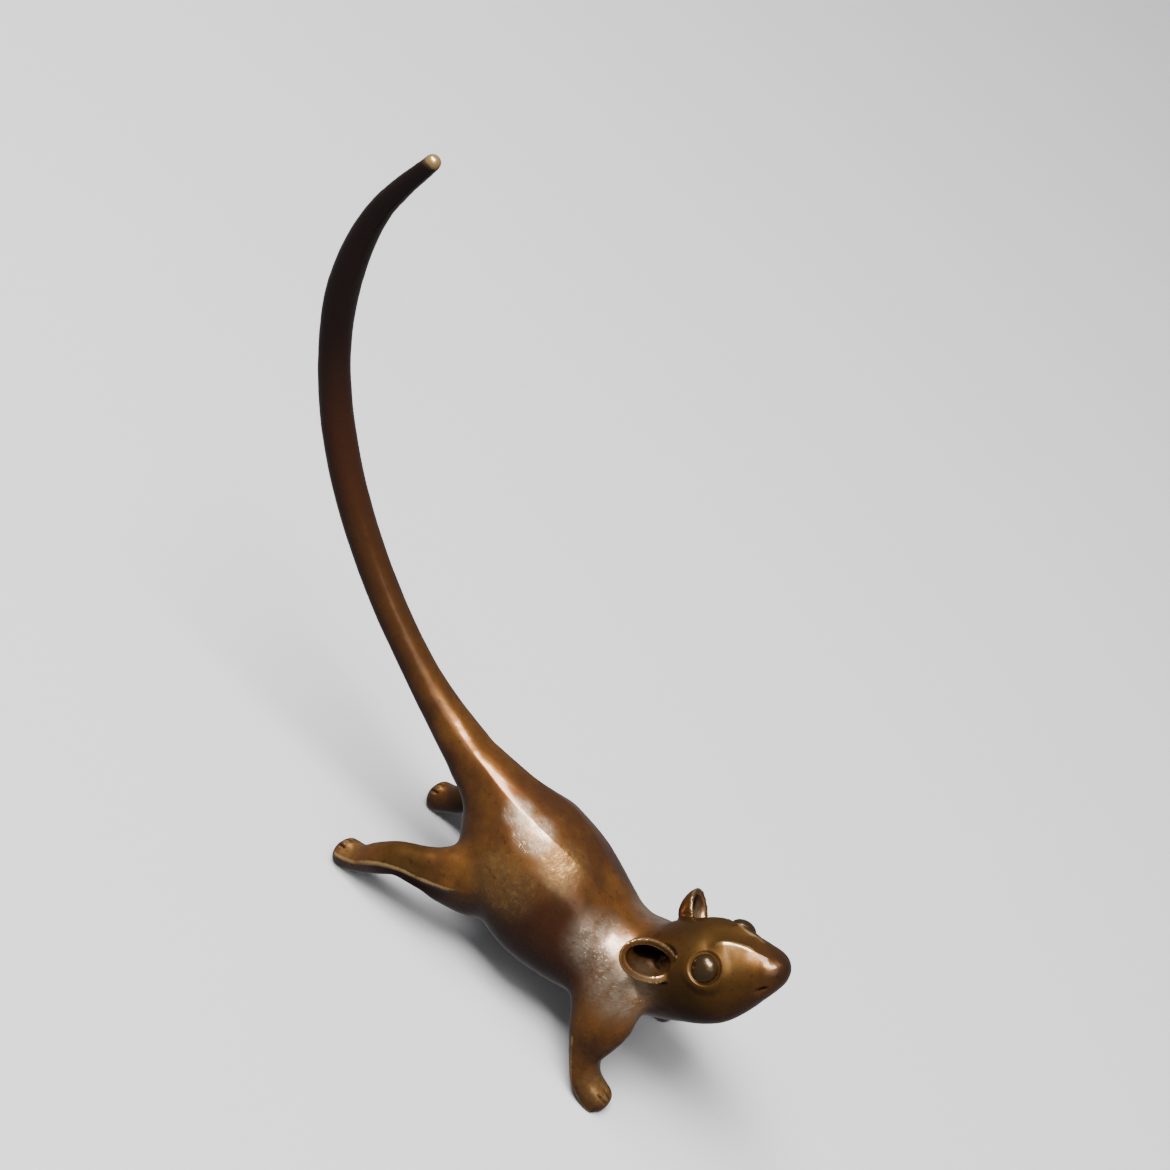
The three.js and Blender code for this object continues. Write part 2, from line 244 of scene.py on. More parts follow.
class Skin:
    """The wax's surface as arrays of points, for the moves that a sculptor's tools make."""

    CREST = 0.42  # how far from a ridge's middle its crest reaches, in millimetres
    LINE_STEPS = 40
    PULLS = (0.5, -0.52)  # a move towards the neighbours and one back, which keeps the volume
    FILL = 0.9
    FILL_ROUNDS = 8  # rounds of filling for each new reading of the normals
    CORE = 0.35  # the share of a reach where nearness is full

    def __init__(self, mesh: bpy.types.Mesh) -> None:
        """Reads the points and edges of a mesh, which the skin then owns."""
        self.mesh = mesh
        count = len(mesh.vertices)
        self.points = np.empty(3 * count)
        mesh.vertices.foreach_get("co", self.points)
        self.points = self.points.reshape(-1, 3)
        edges = np.empty(2 * len(mesh.edges), int)
        mesh.edges.foreach_get("vertices", edges)
        one, other = edges.reshape(-1, 2).T
        self.here = np.concatenate([one, other])
        self.there = np.concatenate([other, one])
        self.degree = np.maximum(np.bincount(self.here, minlength=count), 1)

    def mean(self, values: np.ndarray) -> np.ndarray:
        """Each point's mean of its neighbours' values."""
        if values.ndim == 1:
            return np.bincount(self.here, values[self.there], len(values)) / self.degree
        return np.stack([self.mean(column) for column in values.T], 1)

    def blurred(self, values: np.ndarray, rounds: int) -> np.ndarray:
        """Values after a number of rounds of blurring over the surface."""
        for _ in range(rounds):
            values = 0.5 * (values + self.mean(values))
        return values

    def normals(self) -> np.ndarray:
        """The direction out of the surface at each point."""
        self.write()
        flat = np.empty(self.points.size)
        self.mesh.vertex_normals.foreach_get("vector", flat)
        return flat.reshape(-1, 3)

    def write(self) -> None:
        """Puts the points back into the mesh."""
        self.mesh.vertices.foreach_set("co", self.points.ravel())
        self.mesh.update()

    def smooth(self, rounds: int, where: np.ndarray | None = None) -> None:
        """Takes out small steps and keeps the volume.

        Args:
            rounds: How many times the points are moved.
            where: How much each point takes part, from 0 to 1; None for all of them.
        """
        weight = 1.0 if where is None else where[:, None]
        for _ in range(rounds):
            for pull in self.PULLS:
                self.points += pull * weight * (self.mean(self.points) - self.points)

    def fill_creases(self, radius: float, rounds: int, where: np.ndarray) -> None:
        """Fills hollow creases until they are about as round as a radius.

        Args:
            radius: The hollow radius that is left alone, in millimetres.
            rounds: How many times the filler is spread.
            where: How much each point takes part, from 0 to 1.
        """
        steps = self.points[self.here] - self.points[self.there]
        allowed = float(np.mean(np.sum(steps**2, 1))) / (4.0 * radius)
        for number in range(rounds):
            if number % self.FILL_ROUNDS == 0:
                normals = self.normals()
            depth = np.sum((self.mean(self.points) - self.points) * normals, 1)
            self.points += normals * (self.FILL * where * np.maximum(depth - allowed, 0.0))[:, None]

    def near(self, point: np.ndarray, reach: float) -> np.ndarray:
        """1 at a point and 0 from a reach away, with a smooth fall."""
        return ease(np.linalg.norm(self.points - point, axis=1), reach, self.CORE * reach)

    def laid(self, points: np.ndarray, steps: int) -> np.ndarray:
        """A smooth line over the surface.

        Args:
            points: Points on or near the surface, in order.
            steps: How many points the line gets.

        Returns:
            The line's points.
        """
        line = through(points, np.linspace(0.0, 1.0, steps))
        found = [int(np.argmin(np.sum((self.points - point) ** 2, 1))) for point in line]
        normals = self.normals()[found]
        lift = np.sum((self.points[found] - line) * normals, 1)
        return line + normals * lift[:, None]

    def beside(self, line: np.ndarray, reach: float) -> tuple[np.ndarray, np.ndarray]:
        """Each point's distance from a line, at most the reach, and its place along the line from 0 to 1."""
        distance = np.full(len(self.points), reach)
        along = np.zeros(len(self.points))
        inside = np.all((self.points > line.min(0) - reach) & (self.points < line.max(0) + reach), 1)
        near = np.flatnonzero(inside)
        points = self.points[near]
        for index, (start, end) in enumerate(zip(line, line[1:])):
            step = end - start
            t = np.clip((points - start) @ step / (step @ step), 0.0, 1.0)
            gap = np.linalg.norm(points - start - t[:, None] * step, axis=1)
            closer = gap < distance[near]
            distance[near[closer]] = gap[closer]
            along[near[closer]] = (index + t[closer]) / (len(line) - 1)
        return distance, along

    def draw(self, points: np.ndarray, height: float, width: float, fade: float) -> np.ndarray:
        """Raises a sharp ridge along a line, or cuts a groove where the height is below zero.

        Args:
            points: Points of the line, on or near the surface.
            height: How far the middle of the ridge stands out.
            width: Where the ridge has run out, on either side.
            fade: The share of the line's length over which each end fades.

        Returns:
            How near each point lies to the crest, from 0 to 1.
        """
        distance, along = self.beside(self.laid(points, self.LINE_STEPS), width)
        ends = ease(along, 0.0, fade) * ease(along, 1.0, 1.0 - fade)
        self.points += self.normals() * (height * ends * (1.0 - distance / width) ** 2)[:, None]
        return ends * ease(distance, self.CREST, 0.2 * self.CREST)

    def bend(self, rounds: int) -> np.ndarray:
        """The mean curvature after some rounds of blurring, per millimetre, above zero on ridges."""
        steps = self.points[self.here] - self.points[self.there]
        area = np.bincount(self.here, np.sum(steps**2, 1), len(self.points)) / self.degree
        offset = np.sum((self.points - self.blurred(self.points, rounds)) * self.normals(), 1)
        return 4.0 * offset / (rounds * self.blurred(area, rounds))


class Line(NamedTuple):
    """A line drawn on the skin, in millimetres: its points on the right side, height, width and fading ends."""

    points: tuple[tuple[float, float, float], ...]
    height: float
    width: float
    fade: float

    def draw(self, skin: Skin, hand: Hand) -> np.ndarray:
        """Draws the line on one side of the skin and gives back how near each point lies to its crest."""
        mirror = np.array([1.0, -hand.value, 1.0])
        return skin.draw(np.array(self.points) * mirror, self.height, self.width, self.fade)


def joined(shapes: Iterable[bmesh.types.BMesh]) -> bpy.types.Mesh:
    """One mesh that holds all the shapes, which are freed."""
    whole = bmesh.new()
    for shape in shapes:
        part = bpy.data.meshes.new("part")
        shape.to_mesh(part)
        shape.free()
        whole.from_mesh(part)
        bpy.data.meshes.remove(part)
    mesh = bpy.data.meshes.new("wax")
    whole.to_mesh(mesh)
    whole.free()
    return mesh


def modified(mesh: bpy.types.Mesh, kind: str, **settings: object) -> bpy.types.Mesh:
    """A mesh after one modifier; the old one is removed.

    Args:
        mesh: The mesh to change.
        kind: The modifier's type.
        settings: The modifier's settings.

    Returns:
        The new mesh.
    """
    wax = bpy.data.objects.new("wax", mesh)
    bpy.context.scene.collection.objects.link(wax)
    modifier = wax.modifiers.new(kind.title(), kind)
    for setting, value in settings.items():
        setattr(modifier, setting, value)
    depsgraph = bpy.context.evaluated_depsgraph_get()
    result = bpy.data.meshes.new_from_object(wax.evaluated_get(depsgraph))
    bpy.data.objects.remove(wax)
    bpy.data.meshes.remove(mesh)
    return result


def fused(mesh: bpy.types.Mesh, voxel: float) -> bpy.types.Mesh:
    """One closed skin of even faces round all the solids in a mesh, which is removed."""
    return modified(mesh, "REMESH", mode="VOXEL", voxel_size=voxel)


def divided(mesh: bpy.types.Mesh) -> bpy.types.Mesh:
    """A mesh with each face divided smoothly; the old one is removed."""
    return modified(mesh, "SUBSURF", levels=1, render_levels=1)


def refine(mesh: bpy.types.Mesh, spots: list[tuple[np.ndarray, float]]) -> None:
    """Halves the faces of a mesh round the places of its small forms.

    Args:
        mesh: The mesh, which is changed.
        spots: The places and how far round each the faces are halved.
    """
    centres = np.empty(3 * len(mesh.polygons))
    mesh.polygons.foreach_get("center", centres)
    centres = centres.reshape(-1, 3)
    chosen = np.zeros(len(centres), bool)
    for place, reach in spots:
        chosen |= np.linalg.norm(centres - place, axis=1) < reach
    net = bmesh.new()
    net.from_mesh(mesh)
    net.faces.ensure_lookup_table()
    edges = dict.fromkeys(edge for index in np.flatnonzero(chosen) for edge in net.faces[index].edges)
    bmesh.ops.subdivide_edges(net, edges=list(edges), cuts=1, use_grid_fill=True)
    net.to_mesh(mesh)
    net.free()


def connected(start: bmesh.types.BMFace, allowed: set[bmesh.types.BMFace]) -> list[bmesh.types.BMFace]:
    """The faces that are joined to a first one through allowed faces."""
    seen = {start}
    found = [start]
    for face in found:
        for edge in face.edges:
            for other in edge.link_faces:
                if other in allowed and other not in seen:
                    seen.add(other)
                    found.append(other)
    return found


@dataclass
class SawCut:
    """A flat cut through one limb, in millimetres."""

    point: np.ndarray
    normal: np.ndarray
    reach: float

    def saw(self, wax: bmesh.types.BMesh, number: bmesh.types.BMLayerItem) -> None:
        """Cuts the wax along the plane, near the point only, and parts the two sides.

        Args:
            wax: The wax.
            number: A layer of numbers; faces with a number are left whole.
        """
        centre = Vector(self.point)
        faces = [
            face
            for face in wax.faces
            if not face[number] and (face.calc_center_median() - centre).length < self.reach
        ]
        edges = dict.fromkeys(edge for face in faces for edge in face.edges)
        verts = dict.fromkeys(vert for face in faces for vert in face.verts)
        cut = bmesh.ops.bisect_plane(
            wax,
            geom=faces + list(edges) + list(verts),
            dist=1e-4,
            plane_co=centre,
            plane_no=Vector(self.normal),
        )
        seam = [item for item in cut["geom_cut"] if isinstance(item, bmesh.types.BMEdge)]
        bmesh.ops.split_edges(wax, edges=seam)


def shifted_spine(
    stations: list[Section],
    start: float = 0.0,
    sign: int = 0,
    stride: Stride = Stride(),
    facing: np.ndarray | None = None,
) -> Spine:
    """A spine through a chain of sections, in the CAD frame.

    Args:
        stations: The sections in order.
        start: Where the chain starts ahead of the tail joint.
        sign: The side of the mouse that the sections stand out to.
        stride: How much further the last section stands, spread evenly over the chain.
        facing: As for Spine.

    Returns:
        The spine.
    """
    share = np.linspace(0.0, 1.0, len(stations))
    ahead = TAIL_JOINT_X + start + np.cumsum([s.ahead for s in stations]) + share * stride.ahead
    out = sign * (np.array([s.out for s in stations]) + share * stride.out)
    centres = np.stack([ahead, out, [s.height for s in stations]], 1)
    sizes = [[s.side, s.top, s.under, s.square] for s in stations]
    return Spine(centres, np.array(sizes), facing)


@dataclass
class Body:
    """The torso and the head on one spine in the mid plane, from the tail joint to the nose."""

    tail_root: Section = Section(0.0, 15.5, 2.4, 2.4, 2.4)
    rump: Section = Section(3.4, 14.1, 3.25, 3.85, 3.0)
    hips: Section = Section(4.4, 11.7, 5.95, 6.5, 5.7)
    belly: Section = Section(5.8, 9.4, 6.85, 7.2, 6.6)
    chest: Section = Section(6.2, 9.2, 5.65, 5.6, 5.5)
    neck: Section = Section(4.6, 11.2, 4.2, 3.6, 5.0)
    nape: Section = Section(3.0, 14.0, 4.5, 4.2, 4.8, square=2.2)
    brow: Section = Section(3.0, 17.3, 4.4, 4.4, 4.5, square=2.3)
    muzzle: Section = Section(2.6, 20.5, 2.8, 2.4, 2.5, square=2.3)
    nose: Section = Section(1.6, 23.0, 1.3, 1.1, 1.0, square=2.1)
    nose_round: float = 1.3
    back_edge: Line = Line(
        (
            (-3.7, -1.3, 18.2),
            (0.8, -1.5, 17.2),
            (3.9, -1.9, 16.9),
            (6.9, -2.2, 17.0),
            (9.9, -2.4, 17.0),
            (13.1, -1.9, 16.5),
            (16.3, -1.3, 15.4),
            (18.4, -0.9, 14.5),
        ),
        height=0.13,
        width=2.0,
        fade=0.15,
    )
    brow_edge: Line = Line(
        ((27.3, -2.4, 20.3), (28.5, -1.3, 21.1), (29.8, -0.9, 21.7), (32.6, -0.6, 23.1)),
        height=0.52,
        width=2.2,
        fade=0.3,
    )
    mouth: Line = Line(
        ((33.0, -2.6, 20.2), (33.4, -2.2, 20.9), (33.7, -1.8, 21.5)),
        height=-0.3,
        width=0.4,
        fade=0.35,
    )
    sides: int = 160
    rings: int = 220
    hips_station: int = 2
    belly_station: int = 3
    chest_station: int = 4
    neck_station: int = 5
    nape_station: int = 6
    brow_station: int = 7
    tail_saw_reach: float = 4.5
    neck_saw_reach: float = 10.5

    def stations(self) -> list[Section]:
        """The sections from the tail joint to the nose."""
        rear = [self.tail_root, self.rump, self.hips, self.belly, self.chest]
        return rear + [self.neck, self.nape, self.brow, self.muzzle, self.nose]

    def spine(self) -> Spine:
        """The spine of the torso and head."""
        return shifted_spine(self.stations())

    def share(self, station: int) -> float:
        """The u of a station."""
        return station / (len(self.stations()) - 1)

    def ahead(self, station: int) -> float:
        """How far ahead of the tail joint a station stands."""
        return sum(s.ahead for s in self.stations()[: station + 1])

    def nose_end(self) -> np.ndarray:
        """The end of the spine, at the nose."""
        return self.spine().one(1.0).point

    def model(self) -> bmesh.types.BMesh:
        """The solid of the torso and head."""
        return self.spine().loft(self.sides, self.rings, self.nose_round)

    def skull(
        self, station: int, after: float, angle: float, hand: Hand
    ) -> tuple[Place, np.ndarray, np.ndarray]:
        """A point on the skin of the head.

        Args:
            station: The section that it lies behind.
            after: Its distance after that section.
            angle: Degrees from the top of the head towards the side.
            hand: Which side.

        Returns:
            The place on the spine, the point on the skin and the direction out from the spine to it.
        """
        u = self.share(station)
        spine = self.spine()
        place = spine.one(u + spine.share(after, u))
        turn = math.radians(angle)
        outwards = math.cos(turn) * place.up - hand.value * math.sin(turn) * RIGHT
        half, rise, _, square = place.size
        reach = ((math.sin(turn) / half) ** square + (math.cos(turn) / rise) ** square) ** (-1.0 / square)
        return place, place.point + reach * outwards, outwards

    def cuts(self) -> list[SawCut]:
        """The cuts at the tail joint and at the neck joint."""
        spine = self.spine()
        root = spine.one(0.0)
        neck = spine.one(self.share(self.neck_station))
        return [
            SawCut(root.point, root.along, self.tail_saw_reach),
            SawCut(neck.point, neck.along, self.neck_saw_reach),
        ]


@dataclass
class Tail:
    """The long tail: one cubic curve from the tail joint to its tip, with radii at even steps."""

    root_height: float = 15.5
    root_radius: float = 2.4
    near_handle: tuple[float, float] = (-19.7, 22.3)
    far_handle: tuple[float, float] = (-40.4, 42.6)
    tip: tuple[float, float] = (-29.2, 64.4)
    radii: tuple[float, ...] = (1.7, 1.57, 1.57, 1.57, 1.48, 1.48, 1.1, 0.72)
    round: float = 0.7
    sides: int = 32
    rings: int = 150

    def spine(self) -> Spine:
        """The spine of the tail."""
        t = np.linspace(0.0, 1.0, len(self.radii) + 1)[:, None]
        ends = [(0.0, self.root_height), self.near_handle, self.far_handle, self.tip]
        weights = [(1 - t) ** 3, 3 * t * (1 - t) ** 2, 3 * t**2 * (1 - t), t**3]
        x, z = sum(w * np.array(end) for w, end in zip(weights, ends)).T
        radii = np.array([self.root_radius, *self.radii])
        sizes = np.stack([radii, radii, radii, np.full_like(radii, 2.0)], 1)
        return Spine(np.stack([x + TAIL_JOINT_X, np.zeros_like(x), z], 1), sizes)

    def model(self) -> bmesh.types.BMesh:
        """The solid of the tail."""
        return self.spine().loft(self.sides, self.rings, self.round)


@dataclass
class Leg:
    """One leg, from its root inside the torso to its toes, and the joint where it is plugged on."""

    name: str
    hand: Hand
    stations: list[Section]
    start: float
    stride: Stride
    joint: int
    facing: np.ndarray
    toe_round: float = 1.0
    toe_angles: tuple[float, ...] = (58.0, 92.0, 126.0)
    toe_length: float = 1.5
    toe_depth: float = 0.22
    toe_gap: float = 0.24
    toe_front: float = 0.45
    toe_fade: float = 0.15
    edge_height: float = 0.35
    edge_width: float = 1.1
    edge_fade: float = 0.12
    edge_start: float = 0.12
    edge_end: float = 0.97
    edge_angle: float = 8.0
    edge_turn: float = 6.0
    edge_points: int = 9
    sides: int = 40
    rings: int = 60
    saw_reach: float = 4.2

    def spine(self) -> Spine:
        """The spine of the leg."""
        stride = self.stride if self.hand is Hand.LEFT else Stride()
        return shifted_spine(self.stations, self.start, self.hand.value, stride, self.facing)

    def model(self) -> bmesh.types.BMesh:
        """The solid of the leg and its root."""
        return self.spine().loft(self.sides, self.rings, self.toe_round)

    def end(self) -> np.ndarray:
        """The end of the spine, between the toes."""
        return self.spine().one(1.0).point

    def cut(self) -> SawCut:
        """The cut at the leg's joint."""
        place = self.spine().one(self.joint / (len(self.stations) - 1))
        return SawCut(place.point, place.along, self.saw_reach)

    def beside(self, u: float, angle: float, back: float = 0.0) -> np.ndarray:
        """A point on the leg's own skin.

        Args:
            u: The place along the spine.
            angle: Degrees from the outside of the leg up towards its top.
            back: How far the point is moved back along the leg.

        Returns:
            The point.
        """
        place = self.spine().one(u)
        outwards = place.side * np.sign(place.side[1] * self.hand.value)
        turn = math.radians(angle)
        half, rise, drop, _ = place.size
        up = math.sin(turn) * (rise if turn > 0.0 else drop)
        return place.point + math.cos(turn) * half * outwards + up * place.up - back * place.along

    def sculpt(self, skin: Skin) -> np.ndarray:
        """Sharpens the edge along the outside of the leg and parts the toes.

        Args:
            skin: The skin, which is changed.

        Returns:
            How near each point lies to the edge's crest, from 0 to 1.
        """
        shares = np.linspace(self.edge_start, self.edge_end, self.edge_points)
        edge = [self.beside(u, self.edge_angle + self.edge_turn * u) for u in shares]
        crest = skin.draw(np.array(edge), self.edge_height, self.edge_width, self.edge_fade)
        for angle in self.toe_angles:
            over = self.beside(1.0, angle, self.toe_length)
            tip = self.beside(1.0, angle, self.toe_front)
            front = self.beside(1.0, angle) * 0.5 + self.end() * 0.5
            skin.draw(np.array([over, tip, front]), -self.toe_depth, self.toe_gap, self.toe_fade)
        return crest


def hind_leg(hand: Hand, body: Body) -> Leg:
    """A hind leg, with its sections from the thigh's root to the toes."""
    stations = [
        Section(2.4, 9.6, 2.2, 3.6, 4.4, out=2.6),
        Section(-2.6, 8.4, 2.3, 3.4, 4.8, out=4.4),
        Section(-2.3, 7.3, 2.1, 2.9, 3.6, out=5.4),
        Section(-1.8, 6.7, 1.8, 2.2, 2.4, out=6.1),
        Section(-2.4, 5.6, 1.6, 1.7, 1.65, out=6.5),
        Section(-1.7, 3.9, 1.5, 1.5, 1.55, out=6.65),
        Section(-1.3, 2.25, 1.35, 1.3, 1.4, out=6.6),
        Section(-1.8, 1.25, 1.45, 1.45, 1.9, out=6.5),
        Section(-1.1, 1.05, 1.35, 1.1, 1.8, out=6.4),
    ]
    return Leg(
        name=f"hind_leg_{hand.name.lower()}",
        hand=hand,
        stations=stations,
        start=body.ahead(body.hips_station),
        stride=Stride(1.2, 0.4),
        joint=3,
        facing=UP,
    )


def fore_leg(hand: Hand, body: Body) -> Leg:
    """A fore leg, with its sections from the shoulder's root to the toes."""
    stations = [
        Section(1.6, 10.4, 2.2, 3.4, 3.4, out=2.2),
        Section(1.8, 9.4, 2.2, 4.6, 3.6, out=4.0),
        Section(1.2, 7.8, 2.0, 3.9, 3.2, out=5.1),
        Section(0.8, 5.8, 1.7, 2.85, 2.45, out=6.0),
        Section(0.9, 3.5, 1.45, 1.5, 1.7, out=6.5),
        Section(1.2, 1.85, 1.5, 1.3, 1.55, out=6.8),
        Section(1.7, 1.1, 1.5, 1.2, 1.9, out=6.85),
        Section(1.5, 1.0, 1.3, 1.0, 1.7, out=6.8),
    ]
    return Leg(
        name=f"fore_leg_{hand.name.lower()}",
        hand=hand,
        stations=stations,
        start=body.ahead(body.chest_station),
        stride=Stride(-1.4, 0.3),
        joint=3,
        facing=FORWARDS_AND_UP,
        toe_depth=0.14,
        edge_height=0.2,
        edge_start=0.4,
        edge_angle=-28.0,
    )


@dataclass
class Ear:
    """One ear: a cup beside the nape that opens forwards and outwards."""

    hand: Hand
    body: Body
    after: float
    clear: float
    length: float
    width: float
    angle: float
    swing: float
    tilt: float
    depth: float = 2.6
    hollow: float = 1.9
    wall: float = 0.65
    front_depth: float = 0.4
    stand_off: float = 0.2
    foot_reach: float = 3.6
    front_reach: float = 2.2
    front_crease: float = 0.8
    # the painted dark sits towards the cup's upper wall, where shade falls
    dark_middle: tuple[float, float] = (0.05, 0.35)
    dark_halves: tuple[float, float] = (0.95, 0.8)
    segments: int = 64

    @property
    def name(self) -> str:
        """The name of the ear's CAD node."""
        return f"ear_{self.hand.name.lower()}"

    def axes(self) -> tuple[np.ndarray, np.ndarray, np.ndarray, np.ndarray]:
        """The middle of the cup's mouth and the directions to its front end, up and out of the mouth."""
        place, skin, outwards = self.body.skull(self.body.nape_station, self.after, self.angle, self.hand)
        swing = math.radians(self.swing)
        tilt = math.radians(self.tilt)
        facing = math.sin(swing) * place.along - self.hand.value * math.cos(swing) * RIGHT
        level = -self.hand.value * np.cross(place.up, facing)
        front = math.cos(tilt) * level - math.sin(tilt) * place.up
        up = math.cos(tilt) * place.up + math.sin(tilt) * level
        return skin + self.clear * outwards, front, up, facing

    def model(self) -> bmesh.types.BMesh:
        """The cup: a ball whose front half is pushed into its back half."""
        mouth, front, up, facing = self.axes()
        cup = bmesh.new()
        bmesh.ops.create_uvsphere(cup, u_segments=self.segments, v_segments=self.segments // 2, radius=1.0)
        for vert in cup.verts:
            x, y, z = vert.co
            inside = z > 1e-4
            wall = self.wall if inside else 0.0
            depth = -self.hollow if inside else self.depth
            along = x * (0.5 * self.length - wall)
            across = y * (0.5 * self.width - wall)
            deep = z * (1.0 + self.front_depth * x) * depth
            vert.co = mouth + along * front + across * up + deep * facing
        bmesh.ops.recalc_face_normals(cup, faces=cup.faces[:])
        return cup

    def within(self, points: np.ndarray) -> tuple[np.ndarray, np.ndarray, np.ndarray]:
        """Each point's place lengthwise and across, with 1 at the wall, and its height over the mouth."""
        mouth, front, up, facing = self.axes()
        offset = points - mouth
        lengthwise = offset @ front / (0.5 * self.length - self.wall)
        across = offset @ up / (0.5 * self.width - self.wall)
        return lengthwise, across, offset @ facing

    def press(self, skin: Skin) -> None:
        """Presses the hollow into the skin, also where the skull stands in the cup's mouth."""
        lengthwise, across, height = self.within(skin.points)
        room = 1.0 - lengthwise**2 - across**2
        floor = -self.hollow * (1.0 + self.front_depth * lengthwise) * np.sqrt(np.maximum(room, 0.0))
        pressed = (room > 0.0) & (height > floor) & (height < self.depth)
        mouth, front, _, facing = self.axes()
        skin.points += np.where(pressed, floor - height, 0.0)[:, None] * facing
        edge = skin.blurred(pressed.astype(float), rounds=6)
        skin.smooth(rounds=8, where=ease(edge, 0.02, 0.5))
        front_end = skin.near(mouth + 0.5 * self.length * front, self.front_reach)
        skin.fill_creases(self.front_crease, rounds=40, where=front_end)

    def darkness(self, skin: Skin) -> np.ndarray:
        """How deep in the dark of the cup each point lies, from 0 to 1: dark patina deep in the cup and painted
        shade on its upper wall.
        """
        lengthwise, across, height = self.within(skin.points)
        from_middle = np.stack([lengthwise, across], 1) - self.dark_middle
        round_it = np.hypot(*(from_middle / self.dark_halves).T)
        return ease(round_it, 1.0, 0.7) * ease(height, 0.0, -0.5) * (height > -self.depth)

    def part(self, wax: bmesh.types.BMesh, bare: BVHTree, number: bmesh.types.BMLayerItem) -> None:
        """Parts the ear from the skull along the line where it stands off it.

        Args:
            wax: The wax, whose ear faces get the number 1.
            bare: The skin without its ears.
            number: The layer for the number.
        """
        mouth, front, _, _ = self.axes()
        middle = Vector(mouth)
        near = [face for face in wax.faces if (face.calc_center_median() - middle).length < self.length]
        centres = np.array([face.calc_center_median() for face in near])
        lengthwise, across, height = self.within(centres)
        hollow = (lengthwise**2 + across**2 < 1.1) & (abs(height + 0.5 * self.depth) < 0.7 * self.depth)
        outside = []
        for centre in centres:
            foot, normal, _, _ = bare.find_nearest(centre)
            outside.append((Vector(centre) - foot).dot(normal) > self.stand_off)
        own = {face for face, chosen in zip(near, hollow | np.array(outside)) if chosen}
        seed = near[int(np.argmin(np.linalg.norm(centres - mouth + 0.5 * self.length * front, axis=1)))]
        ear = connected(seed, own)
        for face in ear:
            face[number] = 1
        seam = [edge for edge in wax.edges if len({face[number] for face in edge.link_faces}) > 1]
        bmesh.ops.split_edges(wax, edges=seam)

    def root(self, skin: Skin) -> np.ndarray:
        """How much each point of the skin belongs to the foot of the ear's back, from 0 to 1."""
        _, surface, outwards = self.body.skull(self.body.nape_station, self.after, self.angle, self.hand)
        _, _, _, facing = self.axes()
        behind = ease(skin.normals() @ facing, 0.25, -0.15)
        return skin.near(surface + 0.3 * outwards, self.foot_reach) * behind


@dataclass
class Eye:
    """One eye: a domed stud beside the brow, in a seat with lids."""

    hand: Hand
    body: Body
    after: float = 0.9
    sunk: float = 0.35
    radius: float = 1.27
    dome: float = 0.95
    angle: float = 57.0
    turn: float = 14.0
    groove: float = 0.07
    groove_depth: float = 0.12
    lip: float = 0.03
    lower_lid: float = 0.2
    skirt: float = 0.25
    shoulder: float = 0.45
    shank: float = 0.7
    shank_length: float = 1.6
    seat_depth: float = 0.6
    dome_points: int = 17
    steps: int = 64

    @property
    def name(self) -> str:
        """The name of the eye's CAD node."""
        return f"eye_{self.hand.name.lower()}"

    def axes(self) -> tuple[np.ndarray, np.ndarray, np.ndarray]:
        """The eye's centre, its gaze and the direction towards the top of the head, square to the gaze."""
        place, skin, outwards = self.body.skull(self.body.brow_station, self.after, self.angle, self.hand)
        turn = math.radians(self.turn)
        gaze = math.cos(turn) * outwards + math.sin(turn) * place.along
        brow = unit(place.up - gaze * np.dot(place.up, gaze))
        return skin - self.sunk * gaze, gaze, brow

    def model(self) -> bpy.types.Mesh:
        """The stud in metres: a dome on a shank, spun about its axis."""
        centre, gaze, brow = self.axes()
        stud = bmesh.new()
        quarter = np.linspace(0.0, math.pi / 2, self.dome_points)
        profile = [(self.radius * math.sin(t), self.dome * math.cos(t)) for t in quarter]
        profile += [(self.radius, -self.skirt), (self.shank, -self.shoulder)]
        profile += [(self.shank, -self.shank_length), (0.0, -self.shank_length)]
        verts = [stud.verts.new((r, 0.0, h)) for r, h in profile]
        edges = [stud.edges.new(pair) for pair in zip(verts, verts[1:])]
        bmesh.ops.spin(
            stud,
            geom=verts + edges,
            cent=(0, 0, 0),
            axis=(0, 0, 1),
            angle=2 * math.pi,
            steps=self.steps,
            use_merge=True,
        )
        bmesh.ops.remove_doubles(stud, verts=stud.verts[:], dist=1e-4)
        across = np.cross(brow, gaze)
        turn = Matrix([across, brow, gaze]).transposed().to_4x4()
        bmesh.ops.transform(stud, verts=stud.verts[:], matrix=Matrix.Translation(Vector(centre)) @ turn)
        bmesh.ops.recalc_face_normals(stud, faces=stud.faces[:])
        bmesh.ops.scale(stud, vec=(MM, MM, MM), verts=stud.verts[:])
        for face in stud.faces:
            face.smooth = True
        mesh = bpy.data.meshes.new(self.name)
        stud.to_mesh(mesh)
        stud.free()
        return mesh

    def seat(self, skin: Skin) -> np.ndarray:
        """Presses the eye's seat into the skin, with a thin lid above it and a broad one below.

        Args:
            skin: The skin, which is changed.

        Returns:
            How much each point belongs to the broad lid, from 0 to 1.
        """
        centre, gaze, brow = self.axes()
        offset = skin.points - centre
        height = offset @ gaze
        flat = offset - height[:, None] * gaze
        radius = np.linalg.norm(flat, axis=1)
        below = 0.5 - 0.5 * (flat @ brow) / np.maximum(radius, 1e-6)
        here = (height > -2.0) & (radius < 4.0)
        rim = self.radius + self.groove
        lip = self.lip * (1.0 - below) * bump(radius - rim - 0.2, 0.12)
        broad = self.lower_lid * below**2
        lid = broad * ease(radius, rim + 0.02, rim + 0.3) * ease(radius, rim + 1.15, rim + 0.5)
        groove = -self.groove_depth * bump(radius - rim, 0.13)
        floor = -self.seat_depth * ease(radius, self.radius + 0.02, self.radius - 0.3)
        skin.points += np.where(here, lip + lid + groove + floor, 0.0)[:, None] * gaze
        return np.where(here, lid / self.lower_lid, 0.0)


